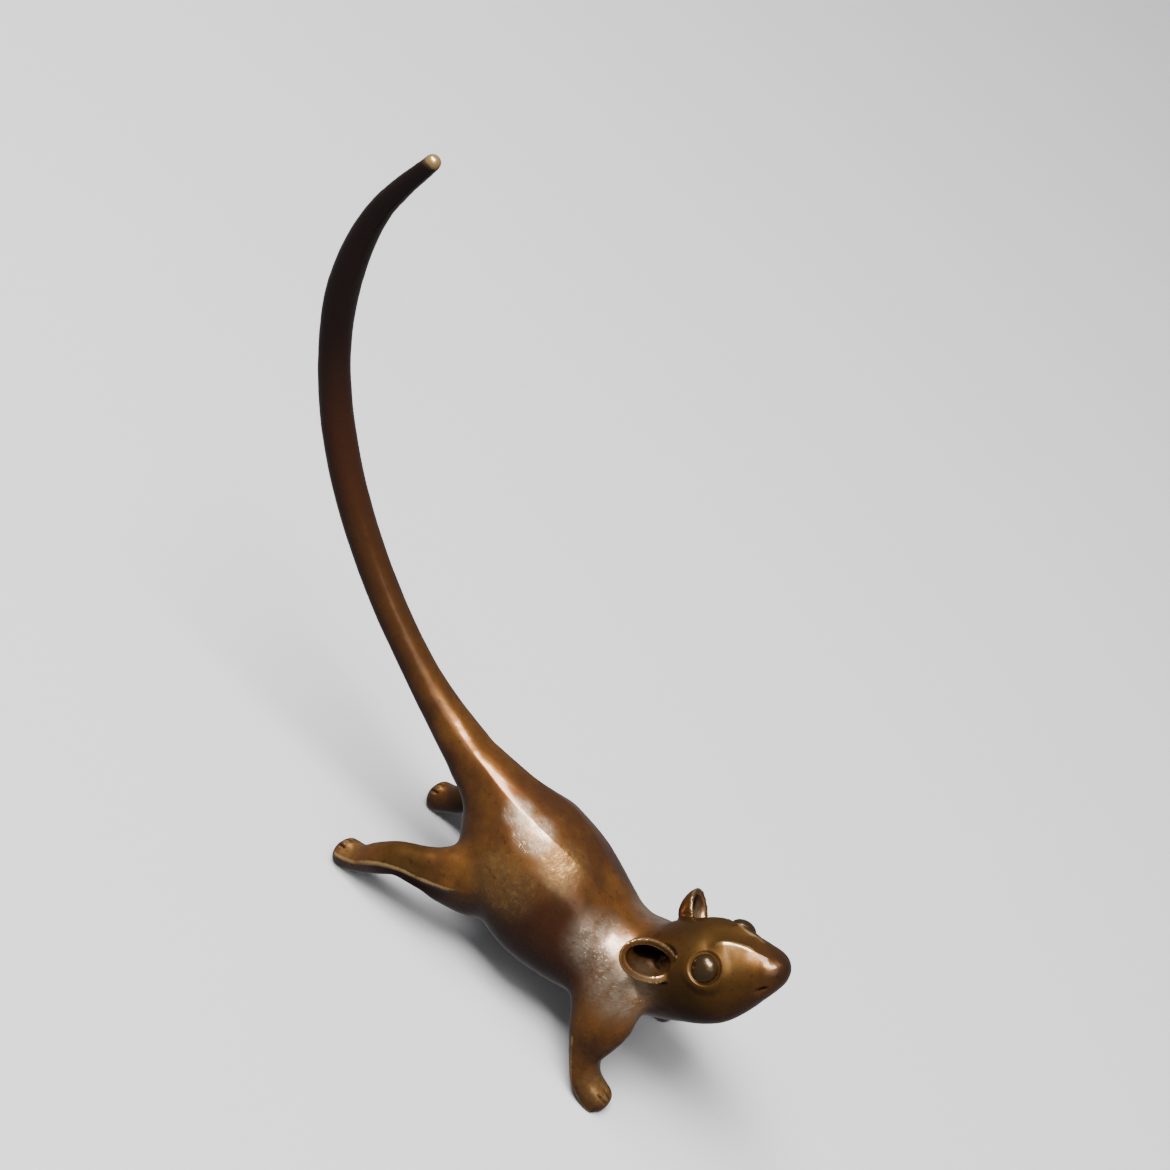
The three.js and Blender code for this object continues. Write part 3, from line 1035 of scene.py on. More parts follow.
@dataclass
class Wax:
    """The whole figure in one skin."""

    coarse: float = 0.3
    fine: float = 0.14
    crease: float = 2.0
    root_reach: float = 7.5
    root_crease: float = 7.0
    fine_crease: float = 0.5
    ear_crease: float = 1.3
    ridge_bend: tuple[float, float] = (0.45, 1.3)
    hollow_bend: tuple[float, float] = (-0.25, -1.0)
    # the upward part of the normal where the painted shade on the undersides begins and where it is full
    shade_slope: tuple[float, float] = (0.5, -0.55)
    # the brow's crest: rubbed patina and a painted highlight along it
    brow_rub_and_highlight: float = 0.7
    leg_rub: float = 0.8
    lid_rub: float = 0.3
    nose_shade: float = 0.7
    nose_reach: float = 3.4
    hand_waves: float = 0.03
    brush_radius: float = 7.0
    body: Body = field(default_factory=Body)
    tail: Tail = field(default_factory=Tail)

    def __post_init__(self) -> None:
        """Makes the limbs that hang on the body, and the places and reaches of the marks on the skin."""
        self.marks = {
            Mask.CHASED: [
                (20.0, -4.2, 13.0, 4.3),
                (23.5, -5.0, 12.2, 4.8),
                (21.5, 4.6, 12.6, 5.0),
                # painted sheen: these two marks whiten the back below its crest, where the light is reflected
                (9.0, -3.0, 16.6, 2.6),
                (6.5, -2.6, 17.0, 2.0),
            ],
            Mask.GILT: [
                (9.8, -6.3, 12.3, 4.5),
                # painted glints: this mark by the back's crest brightens the flecks where light glints
                (12.8, -3.0, 16.0, 3.2),
                (8.5, 6.4, 12.0, 4.0),
                (27.6, -6.9, 2.0, 2.6),
                (-4.0, -6.6, 2.2, 2.4),
            ],
            Mask.RED: [(16.5, -5.8, 11.0, 7.5), (15.5, 5.8, 11.0, 7.0)],
            Mask.OLIVE: [
                (28.0, -2.5, 18.5, 8.0),
                (28.0, 2.5, 18.5, 8.0),
                (2.0, -6.4, 5.5, 5.0),
                (2.0, 6.8, 5.0, 6.0),
            ],
        }
        self.legs = [leg(hand, self.body) for hand in Hand for leg in (fore_leg, hind_leg)]
        self.eyes = [Eye(hand, self.body) for hand in Hand]
        self.ears = [
            Ear(
                Hand.RIGHT,
                self.body,
                after=0.7,
                clear=1.9,
                length=5.7,
                width=4.1,
                angle=55.0,
                swing=45.0,
                tilt=42.0,
            ),
            Ear(
                Hand.LEFT,
                self.body,
                after=0.0,
                clear=1.1,
                length=4.3,
                width=4.2,
                angle=54.0,
                swing=74.0,
                tilt=10.0,
                depth=1.8,
                hollow=1.2,
            ),
        ]

    def model(self) -> Skin:
        """Fuses the forms, fills the creases between them and works the small forms into the skin."""
        forms = [self.body.model(), self.tail.model()] + [leg.model() for leg in self.legs]
        rough = Skin(fused(joined(forms), self.coarse))
        rough.smooth(rounds=4)
        roots = np.max([rough.near(leg.spine().centres[2], self.root_reach) for leg in self.legs], 0)
        rough.fill_creases(self.crease, rounds=60, where=np.ones(len(rough.points)))
        rough.fill_creases(self.root_crease, rounds=400, where=roots)
        rough.smooth(rounds=6)
        rough.write()
        main = bmesh.new()
        smooth = divided(rough.mesh)
        main.from_mesh(smooth)
        bpy.data.meshes.remove(smooth)
        self.bare = BVHTree.FromBMesh(main)
        skin = Skin(fused(joined([main] + [ear.model() for ear in self.ears]), self.fine))
        skin.smooth(rounds=5)
        skin.fill_creases(self.fine_crease, rounds=25, where=np.ones(len(skin.points)))
        for ear in self.ears:
            skin.fill_creases(self.ear_crease, rounds=60, where=ear.root(skin))
        skin.write()
        refine(skin.mesh, self.small_forms())
        skin = Skin(skin.mesh)
        skin.smooth(rounds=2)
        self.sculpt(skin)
        self.remember(skin)
        return skin

    def small_forms(self) -> list[tuple[np.ndarray, float]]:
        """The places of the small forms and how far they reach."""
        spots = [(eye.axes()[0], 3.0) for eye in self.eyes]
        spots += [(ear.axes()[0], 3.3) for ear in self.ears]
        spots += [(leg.end(), 2.2) for leg in self.legs]
        spots.append((self.body.nose_end(), 3.2))
        return spots

    def sculpt(self, skin: Skin) -> None:
        """Works the edges, mouth, toes, eyes' seats and ears into the skin, and slight waves of hand work."""
        crests = []
        for hand in Hand:
            self.body.back_edge.draw(skin, hand)
            self.body.mouth.draw(skin, hand)
            # the brow's crest is rubbed bright, partly as a painted highlight
            crests.append(self.brow_rub_and_highlight * self.body.brow_edge.draw(skin, hand))
        crests += [self.leg_rub * leg.sculpt(skin) for leg in self.legs]
        crests += [self.lid_rub * eye.seat(skin) for eye in self.eyes]
        self.crests = np.max(crests, 0)
        for ear in self.ears:
            ear.press(skin)
        normals = skin.normals()
        places = [Vector(point) for point in skin.points]
        waves = np.array([noise.noise(p * 0.45) + 0.4 * noise.noise(p * 1.1) for p in places])
        skin.points += normals * (self.hand_waves * waves)[:, None]

    def remember(self, skin: Skin) -> None:
        """Stores on each point what the finishes need to know of it."""
        bend = skin.blurred(skin.bend(rounds=24), rounds=8)
        slope = skin.normals()[:, 2]
        values = {
            # ridges rubbed bright, with the painted highlight along the brow's crest
            Mask.RIDGE: np.maximum(ease(bend, *self.ridge_bend) * self.unmuted(skin), self.crests),
            Mask.HOLLOW: ease(bend, *self.hollow_bend),
            # painted shade: the further a point faces down, the darker it is painted
            Mask.SHADE: skin.blurred(ease(slope, *self.shade_slope), rounds=12),
        }
        for mask, spots in self.marks.items():
            values[mask] = np.max([skin.near(np.array(place), reach) for *place, reach in spots], 0)
        # the ear cups: dark patina deep inside and painted shade on their upper walls
        for ear in self.ears:
            values[Mask.HOLLOW] = np.maximum(values[Mask.HOLLOW], ear.darkness(skin))
        nose = self.nose_shade * skin.near(self.body.nose_end(), self.nose_reach)
        values[Mask.SHADE] = np.maximum(values[Mask.SHADE], nose)
        for mask, value in values.items():
            attribute = skin.mesh.attributes.new(mask.value, "FLOAT", "POINT")
            attribute.data.foreach_set("value", value.astype(np.float32))
        brush = skin.mesh.attributes.new(BRUSH, "FLOAT_VECTOR", "POINT")
        brush.data.foreach_set("vector", self.brushed(skin).ravel().astype(np.float32))
        skin.write()

    def brushed(self, skin: Skin) -> np.ndarray:
        """Each point's place for brush strokes, in metres: how far along the body and how far round it."""
        spine = self.body.spine().at(np.linspace(0.0, 1.0, 200)).point
        x, y, z = skin.points.T
        turn = np.arctan2(y, z - np.interp(x, spine[:, 0], spine[:, 2]))
        return MM * np.stack([x, self.brush_radius * turn, np.zeros(len(x))], 1)

    def unmuted(self, skin: Skin) -> np.ndarray:
        """How freely each point may be rubbed bright: less beside the eyes, on the nose and on the toes."""
        spots = [(eye.axes()[0], 3.6, 0.85) for eye in self.eyes]
        spots += [(leg.end(), 3.0, 0.5) for leg in self.legs]
        spots.append((self.body.nose_end(), 4.5, 0.95))
        free = np.ones(len(skin.points))
        for place, reach, share in spots:
            free = np.minimum(free, 1.0 - share * skin.near(place, reach))
        return free

    def saw(self, skin: Skin) -> dict[str, bpy.types.Mesh]:
        """Cuts the skin at the joints.

        Args:
            skin: The worked skin, whose mesh is removed.

        Returns:
            One closed mesh for each casting, by the name of its CAD node, in metres.
        """
        wax = bmesh.new()
        wax.from_mesh(skin.mesh)
        bpy.data.meshes.remove(skin.mesh)
        bmesh.ops.bisect_plane(
            wax,
            geom=wax.verts[:] + wax.edges[:] + wax.faces[:],
            plane_co=(0, 0, 0),
            plane_no=(0, 0, -1),
            clear_outer=True,
        )
        number = wax.faces.layers.int.new("island")
        for ear in self.ears:
            ear.part(wax, self.bare, number)
        for cut in self.body.cuts() + [leg.cut() for leg in self.legs]:
            cut.saw(wax, number)
        whole = bpy.data.meshes.new("wax")
        islands = self.islands(wax)
        for index, island in enumerate(islands):
            for face in island:
                face[number] = index
        centres = [np.array([face.calc_center_median() for face in island]) for island in islands]
        wax.to_mesh(whole)
        wax.free()
        pieces = {}
        owner = self.owners(centres)
        for name in sorted(set(owner)):
            pieces[name] = self.piece(whole, [i for i, who in enumerate(owner) if who == name], name)
        bpy.data.meshes.remove(whole)
        return pieces

    def seeds(self) -> dict[str, np.ndarray]:
        """A point of each casting that only it can be nearest to."""
        spine = self.body.spine()
        found = {
            "torso": spine.one(self.body.share(self.body.belly_station)).point + self.body.belly.top * UP,
            "head": self.body.nose_end(),
            "tail": self.tail.spine().one(1.0).point,
        }
        for leg in self.legs:
            found[leg.name] = leg.end()
        for ear in self.ears:
            mouth, front, _, _ = ear.axes()
            found[ear.name] = mouth - 0.5 * ear.length * front
        return found

    def owners(self, centres: list[np.ndarray]) -> list[str]:
        """The casting that each island belongs to: its own, or the head for a loose one."""
        seeds = self.seeds()
        near = {
            name: [float(np.linalg.norm(centre - seed, axis=1).min()) for centre in centres]
            for name, seed in seeds.items()
        }
        main = {int(np.argmin(distances)): name for name, distances in near.items()}
        owner = []
        for index, centre in enumerate(centres):
            if index in main:
                owner.append(main[index])
                continue
            LOG.info("loose island of %d faces near %s", len(centre), centre.mean(0).round(1))
            owner.append("head")
        return owner

    @staticmethod
    def islands(wax: bmesh.types.BMesh) -> list[list[bmesh.types.BMFace]]:
        """The faces of each connected part."""
        left = set(wax.faces)
        found = []
        for start in wax.faces:
            if start in left:
                found.append(connected(start, left))
                left.difference_update(found[-1])
        return found

    @staticmethod
    def piece(whole: bpy.types.Mesh, numbers: list[int], name: str) -> bpy.types.Mesh:
        """One casting out of the sawn wax, with its cut faces closed, in metres.

        Args:
            whole: The sawn wax with its island numbers.
            numbers: The islands of this casting.
            name: The casting's name.

        Returns:
            The casting's mesh.
        """
        part = bmesh.new()
        part.from_mesh(whole)
        number = part.faces.layers.int["island"]
        others = [face for face in part.faces if face[number] not in numbers]
        bmesh.ops.delete(part, geom=others, context="FACES")
        for face in part.faces:
            face.smooth = True
        rim = [edge for edge in part.edges if edge.is_boundary]
        for edge in rim:
            edge.smooth = False
        caps = bmesh.ops.holes_fill(part, edges=rim, sides=0)["faces"]
        for face in bmesh.ops.poke(part, faces=caps, center_mode="MEAN")["faces"]:
            face.smooth = False
        bmesh.ops.recalc_face_normals(part, faces=part.faces[:])
        part.faces.layers.int.remove(part.faces.layers.int["island"])
        bmesh.ops.scale(part, vec=(MM, MM, MM), verts=part.verts[:])
        mesh = bpy.data.meshes.new(name)
        part.to_mesh(mesh)
        part.free()
        return mesh


Colour = tuple[float, float, float]
Socket = bpy.types.NodeSocket
Feed = float | tuple[float, ...] | Socket
Masks = dict[Mask, Socket]
Outputs = bpy.types.NodeOutputs


class Graph:
    """A shader node tree that is filled step by step."""

    def __init__(self, tree: bpy.types.NodeTree) -> None:
        """Keeps the tree."""
        self.tree = tree

    def node(self, kind: str) -> bpy.types.Node:
        """A new node."""
        return self.tree.nodes.new(kind)

    def feed(self, socket: Socket, value: Feed) -> None:
        """Links a socket to another one, or gives it a value."""
        if isinstance(value, Socket):
            self.tree.links.new(value, socket)
        else:
            socket.default_value = (*value, 1.0) if isinstance(value, tuple) and len(value) == 3 else value

    def noise(self, place: Socket, scale: float, detail: float, roughness: float = 0.5) -> Socket:
        """A cloudy pattern from 0 to 1; the scale is in clouds per metre."""
        node = self.node("ShaderNodeTexNoise")
        self.feed(node.inputs["Vector"], place)
        self.feed(node.inputs["Scale"], scale)
        self.feed(node.inputs["Detail"], detail)
        self.feed(node.inputs["Roughness"], roughness)
        return node.outputs["Fac"]

    def strokes(self, place: Socket, length: float, width: float) -> Socket:
        """A pattern of fine strokes.

        Args:
            place: Places along and round the body.
            length: The strokes' length, in metres.
            width: Their width, in metres.

        Returns:
            The pattern, from 0 to 1.
        """
        node = self.node("ShaderNodeMapping")
        self.feed(node.inputs["Vector"], place)
        node.inputs["Scale"].default_value = (1.0 / length, 1.0 / width, 1.0)
        return self.noise(node.outputs["Vector"], 1.0, 4.0, 0.65)

    def step(self, value: Feed, low: float, high: float) -> Socket:
        """A smooth step from 0 at low to 1 at high."""
        node = self.node("ShaderNodeMapRange")
        node.interpolation_type = "SMOOTHSTEP"
        self.feed(node.inputs["Value"], value)
        self.feed(node.inputs["From Min"], low)
        self.feed(node.inputs["From Max"], high)
        return node.outputs["Result"]

    def math(self, operation: str, first: Feed, second: Feed) -> Socket:
        """Two values added, multiplied and so on, kept from 0 to 1."""
        node = self.node("ShaderNodeMath")
        node.operation = operation
        node.use_clamp = True
        self.feed(node.inputs[0], first)
        self.feed(node.inputs[1], second)
        return node.outputs["Value"]

    def mix(self, share: Feed, first: Feed, second: Feed) -> Socket:
        """The first colour where the share is 0 and the second where it is 1."""
        node = self.node("ShaderNodeMix")
        node.data_type = "RGBA"
        self.feed(node.inputs["Factor"], share)
        self.feed(node.inputs["A"], first)
        self.feed(node.inputs["B"], second)
        return node.outputs["Result"]

    def tinted(self, colour: Socket, share: Socket, strength: float, tint: Colour) -> Socket:
        """A colour mixed with a tint by a share of some strength."""
        return self.mix(self.math("MULTIPLY", share, strength), colour, tint)

    def broken(self, share: Socket, pattern: Socket, strength: tuple[float, float]) -> Socket:
        """A share broken up by a pattern, with its strength at least and what the pattern adds."""
        least, more = strength
        return self.math("MULTIPLY", share, self.math("ADD", least, self.math("MULTIPLY", pattern, more)))

    def attribute(self, name: str) -> bpy.types.Node:
        """A node that reads what the skin remembers."""
        node = self.node("ShaderNodeAttribute")
        node.attribute_name = name
        return node

    def mask(self, mask: Mask) -> Socket:
        """What the skin remembers under a mask's name."""
        return self.attribute(mask.value).outputs["Fac"]


class Effect:
    """A pattern that several finishes share, as a shader node group."""

    def __init__(self, name: str, inputs: dict[str, str], outputs: tuple[str, ...]) -> None:
        """Makes an empty group.

        Args:
            name: The group's name.
            inputs: Its inputs with their socket types.
            outputs: Its outputs, all plain values.
        """
        self.tree = bpy.data.node_groups.new(name, "ShaderNodeTree")
        for socket, kind in inputs.items():
            self.tree.interface.new_socket(socket, in_out="INPUT", socket_type=kind)
        for socket in outputs:
            self.tree.interface.new_socket(socket, in_out="OUTPUT", socket_type="NodeSocketFloat")
        self.graph = Graph(self.tree)
        self.inside = self.graph.node("NodeGroupInput").outputs
        self.result = self.graph.node("NodeGroupOutput").inputs

    def put(self, output: str, value: Socket) -> None:
        """Sends a value to an output."""
        self.graph.feed(self.result[output], value)

    def placed(self, graph: Graph, **values: Feed) -> Outputs:
        """The group as a node of a material.

        Args:
            graph: The material's nodes.
            values: What goes into the group's inputs.

        Returns:
            The node's outputs.
        """
        node = graph.node("ShaderNodeGroup")
        node.node_tree = self.tree
        for socket, value in values.items():
            graph.feed(node.inputs[socket], value)
        return node.outputs


class Mottling(Effect):
    """The clouds, olive patches and specks of an old patina."""

    # Each pattern's clouds per metre, detail and roughness, and where its step starts and ends
    PATTERNS = {
        "Cloud": (150.0, 6.0, 0.62, 0.36, 0.66),
        "Olive": (230.0, 5.0, 0.6, 0.54, 0.74),
        "Speck": (1900.0, 3.0, 0.6, 0.58, 0.74),
        "Fleck": (1500.0, 5.0, 0.75, 0.45, 0.75),
        "Grain": (700.0, 8.0, 0.75, 0.35, 0.65),
    }

    def __init__(self) -> None:
        """Builds the group."""
        super().__init__("Mottling", {"Place": "NodeSocketVector"}, tuple(self.PATTERNS))
        for output, (scale, detail, roughness, low, high) in self.PATTERNS.items():
            pattern = self.graph.noise(self.inside["Place"], scale, detail, roughness)
            self.put(output, self.graph.step(pattern, low, high))


class Wear(Effect):
    """The patina rubbed off the edges, in a broken line, and the painted highlight along the brow's crest."""

    def __init__(self) -> None:
        """Builds the group."""
        super().__init__("Wear", {"Place": "NodeSocketVector", "Ridge": "NodeSocketFloat"}, ("Rubbed",))
        graph = self.graph
        broken = graph.math("MULTIPLY", graph.noise(self.inside["Place"], 900.0, 4.0, 0.6), 0.7)
        self.put("Rubbed", graph.step(graph.math("SUBTRACT", self.inside["Ridge"], broken), 0.0, 0.5))


class ToolMarks(Effect):
    """The strokes left by scrapers and brushes, strongest on the tool-worked patches and on the painted sheen
    along the back.
    """

    STROKE = (0.004, 0.00016)  # length and width, in metres
    SCRATCH = (0.0007, 0.0001)

    def __init__(self) -> None:
        """Builds the group."""
        inputs = {"Place": "NodeSocketVector", "Chased": "NodeSocketFloat", "Dented": "NodeSocketFloat"}
        super().__init__("Tool marks", inputs, ("Stroke", "Scratch", "Height"))
        graph = self.graph
        path = graph.attribute(BRUSH).outputs["Vector"]
        stroke = graph.strokes(path, *self.STROKE)
        scratch = graph.strokes(path, *self.SCRATCH)
        deep = graph.math("MULTIPLY", graph.step(scratch, 0.54, 0.70), self.inside["Chased"])
        pits = graph.noise(self.inside["Place"], 1100.0, 3.0)
        fine = graph.math("MULTIPLY", graph.math("ADD", stroke, pits), 0.15)
        dents = graph.math("MULTIPLY", graph.step(pits, 0.35, 0.65), self.inside["Dented"])
        marks = graph.math("ADD", graph.math("MULTIPLY", deep, 0.35), graph.math("MULTIPLY", dents, 0.6))
        self.put("Stroke", stroke)
        self.put("Scratch", deep)
        self.put("Height", graph.math("ADD", fine, marks))


class Band(NamedTuple):
    """A change of colour with height, in metres, from none at the start to full at the end."""

    start: float
    end: float
    colour: Colour
    share: float = 1.0


@dataclass(frozen=True)
class Bronze:
    """A patinated bronze: its colours, from the warm ground to the rubbed edges, and its gloss."""

    name: str
    golden: Colour = (0.285, 0.113, 0.021)
    umber: Colour = (0.105, 0.038, 0.011)
    red: Colour = (0.058, 0.015, 0.007)
    olive: Colour = (0.066, 0.036, 0.010)
    # bright gold flecks, also painted glints by the back's crest
    gilt: Colour = (0.40, 0.26, 0.095)
    # the pale tool-worked patches, also the painted sheen along the back
    chased: Colour = (0.420, 0.325, 0.225)
    scratched: Colour = (0.62, 0.52, 0.40)
    dark: Colour = (0.009, 0.005, 0.005)
    # the bare bronze of rubbed edges, also the painted highlight on the brow's crest
    rubbed: Colour = (0.52, 0.33, 0.135)
    edge_tint: Colour = (0.55, 0.42, 0.32)
    metallic: float = 0.8
    roughness: tuple[float, float] = (0.25, 0.4)
    coat: float = 0.75
    coat_roughness: float = 0.16
    matt_roughness: float = 0.8
    relief: float = 0.00003
    brushing: float = 0.4
    reddening: float = 0.85
    greening: float = 0.8
    patches: float = 0.6
    chasing_and_sheen: tuple[float, float] = (0.25, 0.45)
    flecking: tuple[float, float] = (0.15, 0.45)
    specks: float = 0.4
    scratches: float = 0.4
    darkening: float = 0.9
    dryness: float = 0.6
    rub: float = 1.0
    bands: tuple[Band, ...] = ()

    def material(self, mottling: Mottling, wear: Wear, marks: ToolMarks) -> bpy.types.Material:
        """The finished material.

        Args:
            mottling: The patina's clouds.
            wear: The rubbed edges, and the painted highlight on the brow's crest.
            marks: The tools' strokes.

        Returns:
            The material.
        """
        material = bpy.data.materials.new(self.name)
        material.use_nodes = True
        graph = Graph(material.node_tree)
        place = graph.node("ShaderNodeTexCoord").outputs["Object"]
        masks = {mask: graph.mask(mask) for mask in Mask}
        clouds = mottling.placed(graph, Place=place)
        rubbed = wear.placed(graph, Place=place, Ridge=masks[Mask.RIDGE])["Rubbed"]
        strokes = marks.placed(graph, Place=place, Chased=masks[Mask.CHASED], Dented=masks[Mask.GILT])
        # rubbed patina and the brow's painted highlight, left out where the shade is painted
        lit = graph.math("SUBTRACT", rubbed, masks[Mask.SHADE])

        ground = self.ground(graph, masks, clouds, strokes)
        colour = self.weathered_and_shaded(graph, masks, self.banded(graph, place, ground), strokes, lit)
        shader = material.node_tree.nodes["Principled BSDF"]
        graph.feed(shader.inputs["Base Color"], colour)
        self.polish(graph, shader, masks, clouds, lit)
        relief = graph.node("ShaderNodeBump")
        relief.inputs["Distance"].default_value = self.relief
        graph.feed(relief.inputs["Height"], strokes["Height"])
        graph.feed(shader.inputs["Normal"], relief.outputs["Normal"])
        return material

    def ground(self, graph: Graph, masks: Masks, clouds: Outputs, strokes: Outputs) -> Socket:
        """The colours of the patina itself, with a painted sheen and painted glints along the back.

        Args:
            graph: The material's nodes.
            masks: What the skin remembers.
            clouds: The outputs of the mottling.
            strokes: The outputs of the tool marks.

        Returns:
            The colour.
        """
        colour = graph.mix(clouds["Cloud"], self.golden, self.umber)
        brushed = graph.math("MAXIMUM", graph.step(strokes["Stroke"], 0.4, 0.7), clouds["Grain"])
        colour = graph.tinted(colour, brushed, self.brushing, self.umber)
        colour = graph.tinted(colour, masks[Mask.RED], self.reddening, self.red)
        olive = graph.math("MULTIPLY", masks[Mask.OLIVE], self.greening)
        olive = graph.math("MAXIMUM", olive, graph.math("MULTIPLY", clouds["Olive"], self.patches))
        colour = graph.mix(olive, colour, self.olive)
        # tool-worked patches and the painted sheen along the back
        chased = graph.broken(masks[Mask.CHASED], clouds["Grain"], self.chasing_and_sheen)
        colour = graph.mix(chased, colour, self.chased)
        # gold flecks, and painted glints by the back's crest
        gilt = graph.broken(masks[Mask.GILT], clouds["Fleck"], self.flecking)
        colour = graph.mix(gilt, colour, self.gilt)
        return graph.tinted(colour, clouds["Speck"], self.specks, self.dark)

    def banded(self, graph: Graph, place: Socket, colour: Socket) -> Socket:
        """A colour after the finish's changes with height."""
        for band in self.bands:
            height = graph.node("ShaderNodeSeparateXYZ")
            graph.feed(height.inputs["Vector"], place)
            reached = graph.step(height.outputs["Z"], band.start, band.end)
            colour = graph.tinted(colour, reached, band.share, band.colour)
        return colour

    def weathered_and_shaded(self, graph: Graph, masks: Masks, colour: Socket, strokes: Outputs, lit: Socket) -> Socket:
        """A colour with scratches, dark hollows, painted shade on the undersides and in the ear cups, and
        rubbed edges.

        Args:
            graph: The material's nodes.
            masks: What the skin remembers.
            colour: The colour so far.
            strokes: The outputs of the tool marks.
            lit: Where the patina is rubbed off, and where the brow's crest has its painted highlight, outside
                the painted shade.

        Returns:
            The colour.
        """
        colour = graph.tinted(colour, strokes["Scratch"], self.scratches, self.scratched)
        # dark patina in the hollows, painted shade in the ear cups, and painted shade on the undersides
        for mask in (Mask.HOLLOW, Mask.SHADE):
            colour = graph.tinted(colour, masks[mask], self.darkening, self.dark)
        return graph.tinted(colour, lit, self.rub, self.rubbed)

    def polish(self, graph: Graph, shader: bpy.types.Node, masks: Masks, clouds: Outputs, lit: Socket) -> None:
        """Sets the gloss, the metal and the wax coat, which hollows and dry olive places lack.

        Args:
            graph: The material's nodes.
            shader: The material's shader.
            masks: What the skin remembers.
            clouds: The outputs of the mottling.
            lit: Where the patina is rubbed off, and where the brow's crest has its painted highlight, outside
                the painted shade.
        """
        hollow = masks[Mask.HOLLOW]
        dry = graph.math("SUBTRACT", graph.math("MULTIPLY", masks[Mask.OLIVE], self.dryness), lit)
        bare = graph.math("MAXIMUM", hollow, dry)
        gloss = graph.node("ShaderNodeMapRange")
        graph.feed(gloss.inputs["Value"], graph.math("SUBTRACT", clouds["Cloud"], lit))
        gloss.inputs["To Min"].default_value, gloss.inputs["To Max"].default_value = self.roughness
        matt = graph.math("MULTIPLY", bare, self.matt_roughness)
        graph.feed(shader.inputs["Roughness"], graph.math("MAXIMUM", gloss.outputs["Result"], matt))
        graph.feed(shader.inputs["Metallic"], graph.math("MAXIMUM", hollow, self.metallic))
        graph.feed(shader.inputs["Coat Weight"], graph.math("SUBTRACT", self.coat, bare))
        shader.inputs["Coat Roughness"].default_value = self.coat_roughness
        shader.inputs["Specular Tint"].default_value = (*self.edge_tint, 1.0)


TAIL_BANDS = (
    Band(0.0155, 0.024, (0.095, 0.037, 0.010), 0.7),
    Band(0.020, 0.036, (0.075, 0.022, 0.009), 0.9),
    Band(0.033, 0.046, (0.018, 0.008, 0.007), 0.9),
    Band(0.0632, 0.0641, (0.42, 0.25, 0.09), 0.9),
)

PIECE_SLOTS = {"tail": Slot.TAIL, "ear_right": Slot.EAR, "ear_left": Slot.EAR}


def finishes() -> dict[Slot, bpy.types.Material]:
    """The material of each slot."""
    effects = (Mottling(), Wear(), ToolMarks())
    bronzes = {
        Slot.BODY: Bronze("patinated_bronze"),
        Slot.EAR: Bronze("rubbed_ear_bronze", rub=0.35),
        Slot.EYE: Bronze("dark_eye_bronze", golden=(0.075, 0.043, 0.014), umber=(0.05, 0.026, 0.009)),
        Slot.TAIL: Bronze("tail_bronze", bands=TAIL_BANDS),
    }
    return {slot: bronze.material(*effects) for slot, bronze in bronzes.items()}


class SoftBox(NamedTuple):
    """A soft box: its middle, size and aim in metres, its power, and whether the metal mirrors it."""

    name: str
    middle: tuple[float, float, float]
    size: tuple[float, float]
    power: float
    aim: tuple[float, float, float]
    mirrored: bool = True


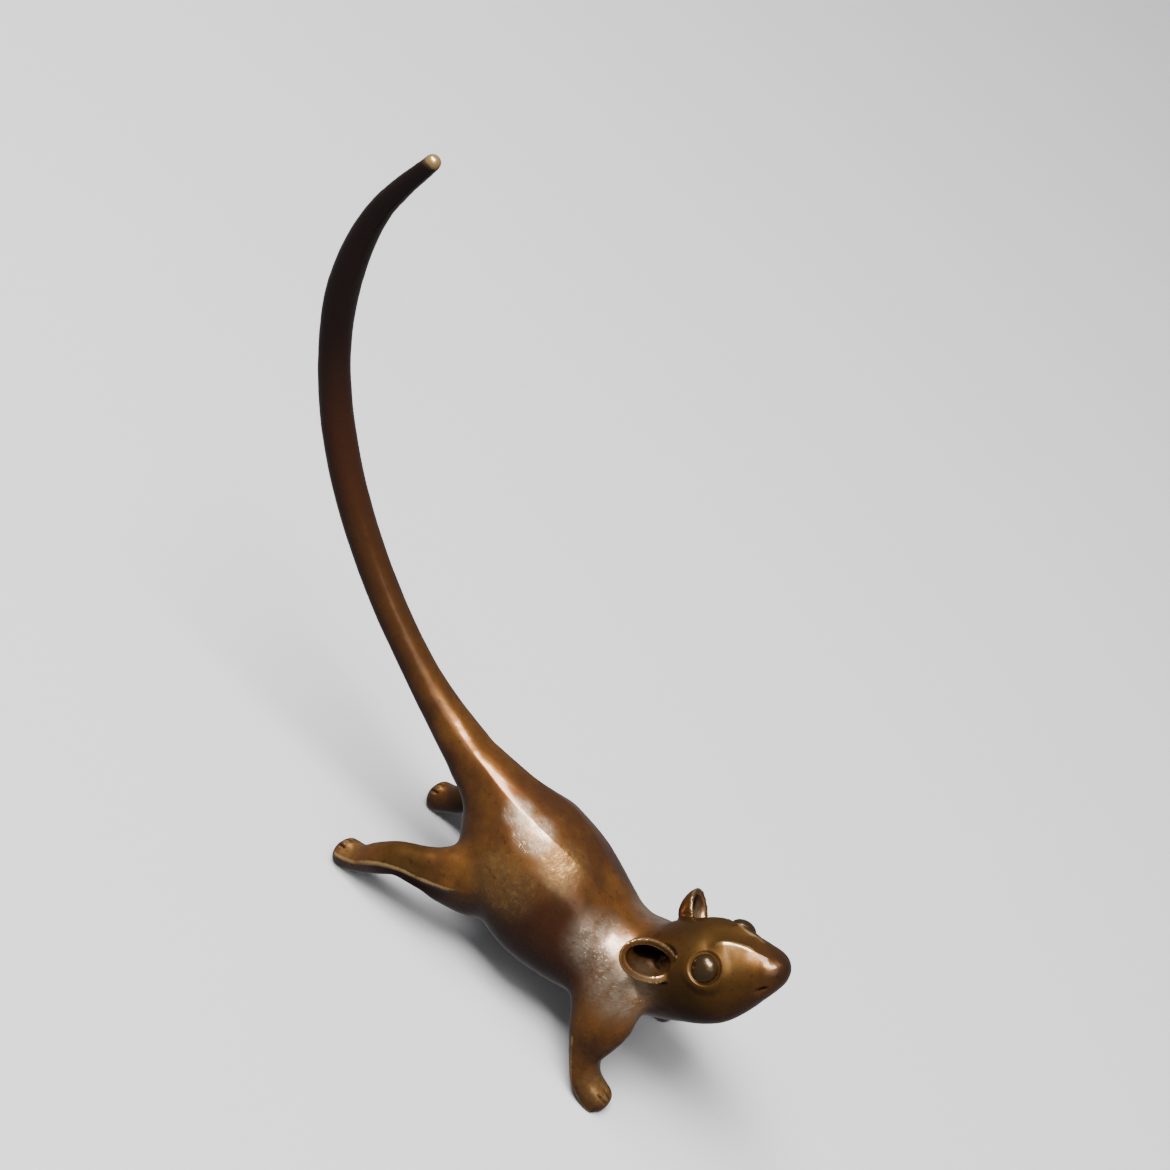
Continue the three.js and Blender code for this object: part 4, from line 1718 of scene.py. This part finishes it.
@dataclass
class Studio:
    """The pale floor, the soft lights and the camera."""

    floor_size: float = 3.0
    floor_colour: Colour = (0.5, 0.5, 0.51)
    floor_roughness: float = 0.75
    floor_gloss: float = 0.2
    lens: float = 72.89
    sensor: float = 36.0
    eye: tuple[float, float, float] = (0.04007, -0.15054, 0.17122)
    azimuth: float = 15.0
    elevation: float = 40.0
    roll: float = 32.0
    surroundings: Colour = (0.21, 0.21, 0.22)
    boxes: tuple[SoftBox, ...] = (
        SoftBox("strip_box", (-0.06, -0.12, 0.5), (0.32, 0.2), 7.0, (-0.06, -0.12, 0.0)),
        SoftBox("rear_box", (-0.31, 0.0, 0.5), (0.18, 0.18), 2.5, (-0.31, 0.0, 0.0)),
        SoftBox("wide_box", (0.22, -0.32, 0.5), (0.5, 0.3), 0.5, (0.01, 0.0, 0.01)),
        SoftBox("floor_box", (0.14, -0.06, 0.3), (0.2, 0.2), 0.6, (0.14, -0.06, 0.0), mirrored=False),
    )

    def build(self) -> None:
        """Sets up the floor, the lights, the surroundings and the camera."""
        self.floor()
        for box in self.boxes:
            self.light(box)
        world = bpy.data.worlds.new("studio")
        world.use_nodes = True
        world.node_tree.nodes["Background"].inputs["Color"].default_value = (*self.surroundings, 1.0)
        bpy.context.scene.world = world
        self.camera()

    def floor(self) -> None:
        """A plain pale floor under the paws."""
        sheet = bmesh.new()
        bmesh.ops.create_grid(sheet, x_segments=1, y_segments=1, size=self.floor_size)
        mesh = bpy.data.meshes.new("floor")
        sheet.to_mesh(mesh)
        sheet.free()
        floor = bpy.data.objects.new("floor", mesh)
        floor.visible_glossy = False
        bpy.context.scene.collection.objects.link(floor)
        material = bpy.data.materials.new("pale_floor")
        material.use_nodes = True
        graph = Graph(material.node_tree)
        place = graph.node("ShaderNodeTexCoord").outputs["Object"]
        tone = graph.math("MULTIPLY", graph.noise(place, 30.0, 5.0), 0.12)
        darker = tuple(0.8 * part for part in self.floor_colour)
        shader = material.node_tree.nodes["Principled BSDF"]
        graph.feed(shader.inputs["Base Color"], graph.mix(tone, self.floor_colour, darker))
        shader.inputs["Roughness"].default_value = self.floor_roughness
        shader.inputs["Specular IOR Level"].default_value = self.floor_gloss
        mesh.materials.append(material)

    def light(self, box: SoftBox) -> None:
        """One soft box."""
        data = bpy.data.lights.new(box.name, "AREA")
        data.shape = "RECTANGLE"
        data.size, data.size_y = box.size
        data.energy = box.power
        lamp = bpy.data.objects.new(box.name, data)
        lamp.location = box.middle
        lamp.rotation_euler = (Vector(box.aim) - Vector(box.middle)).to_track_quat("-Z", "Y").to_euler()
        lamp.visible_glossy = box.mirrored
        bpy.context.scene.collection.objects.link(lamp)

    def camera(self) -> None:
        """The camera at the photograph's angle."""
        azimuth, elevation, roll = (math.radians(a) for a in (self.azimuth, self.elevation, self.roll))
        level = math.cos(elevation)
        back = Vector((math.sin(azimuth) * level, -math.cos(azimuth) * level, math.sin(elevation)))
        level_up = (Vector(UP) - back * back.z).normalized()
        level_right = level_up.cross(back)
        right = math.cos(roll) * level_right + math.sin(roll) * level_up
        up = math.cos(roll) * level_up - math.sin(roll) * level_right
        data = bpy.data.cameras.new("camera")
        data.lens = self.lens
        data.sensor_width = self.sensor
        data.clip_start = 0.01
        camera = bpy.data.objects.new("camera", data)
        turn = Matrix([right, up, back]).transposed().to_4x4()
        camera.matrix_world = Matrix.Translation(Vector(self.eye)) @ turn
        bpy.context.scene.collection.objects.link(camera)
        bpy.context.scene.camera = camera


def dress(name: str, mesh: bpy.types.Mesh, material: bpy.types.Material) -> None:
    """Dresses a mesh and puts it in the place of its CAD node.

    Args:
        name: The CAD node's name.
        mesh: The casting, in metres.
        material: Its finish.
    """
    mesh.materials.append(material)
    piece = bpy.data.objects.new(f"{name}_casting", mesh)
    bpy.context.scene.collection.objects.link(piece)
    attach(piece, "root")
    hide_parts(name)
    LOG.info("%s: %d faces", piece.name, len(mesh.polygons))


def main() -> None:
    """Builds the mouse and its studio round the CAD frame."""
    logging.basicConfig(level=logging.INFO, format="%(message)s")
    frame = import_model()
    LOG.info("CAD nodes: %s", ", ".join(sorted(frame["nodes"])))

    materials = finishes()
    wax = Wax()
    for name, mesh in wax.saw(wax.model()).items():
        slot = PIECE_SLOTS.get(name, Slot.BODY)
        dress(name, mesh, materials[slot])
    for eye in wax.eyes:
        dress(eye.name, eye.model(), materials[Slot.EYE])

    Studio().build()
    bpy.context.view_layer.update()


if __name__ == "__main__":
    main()
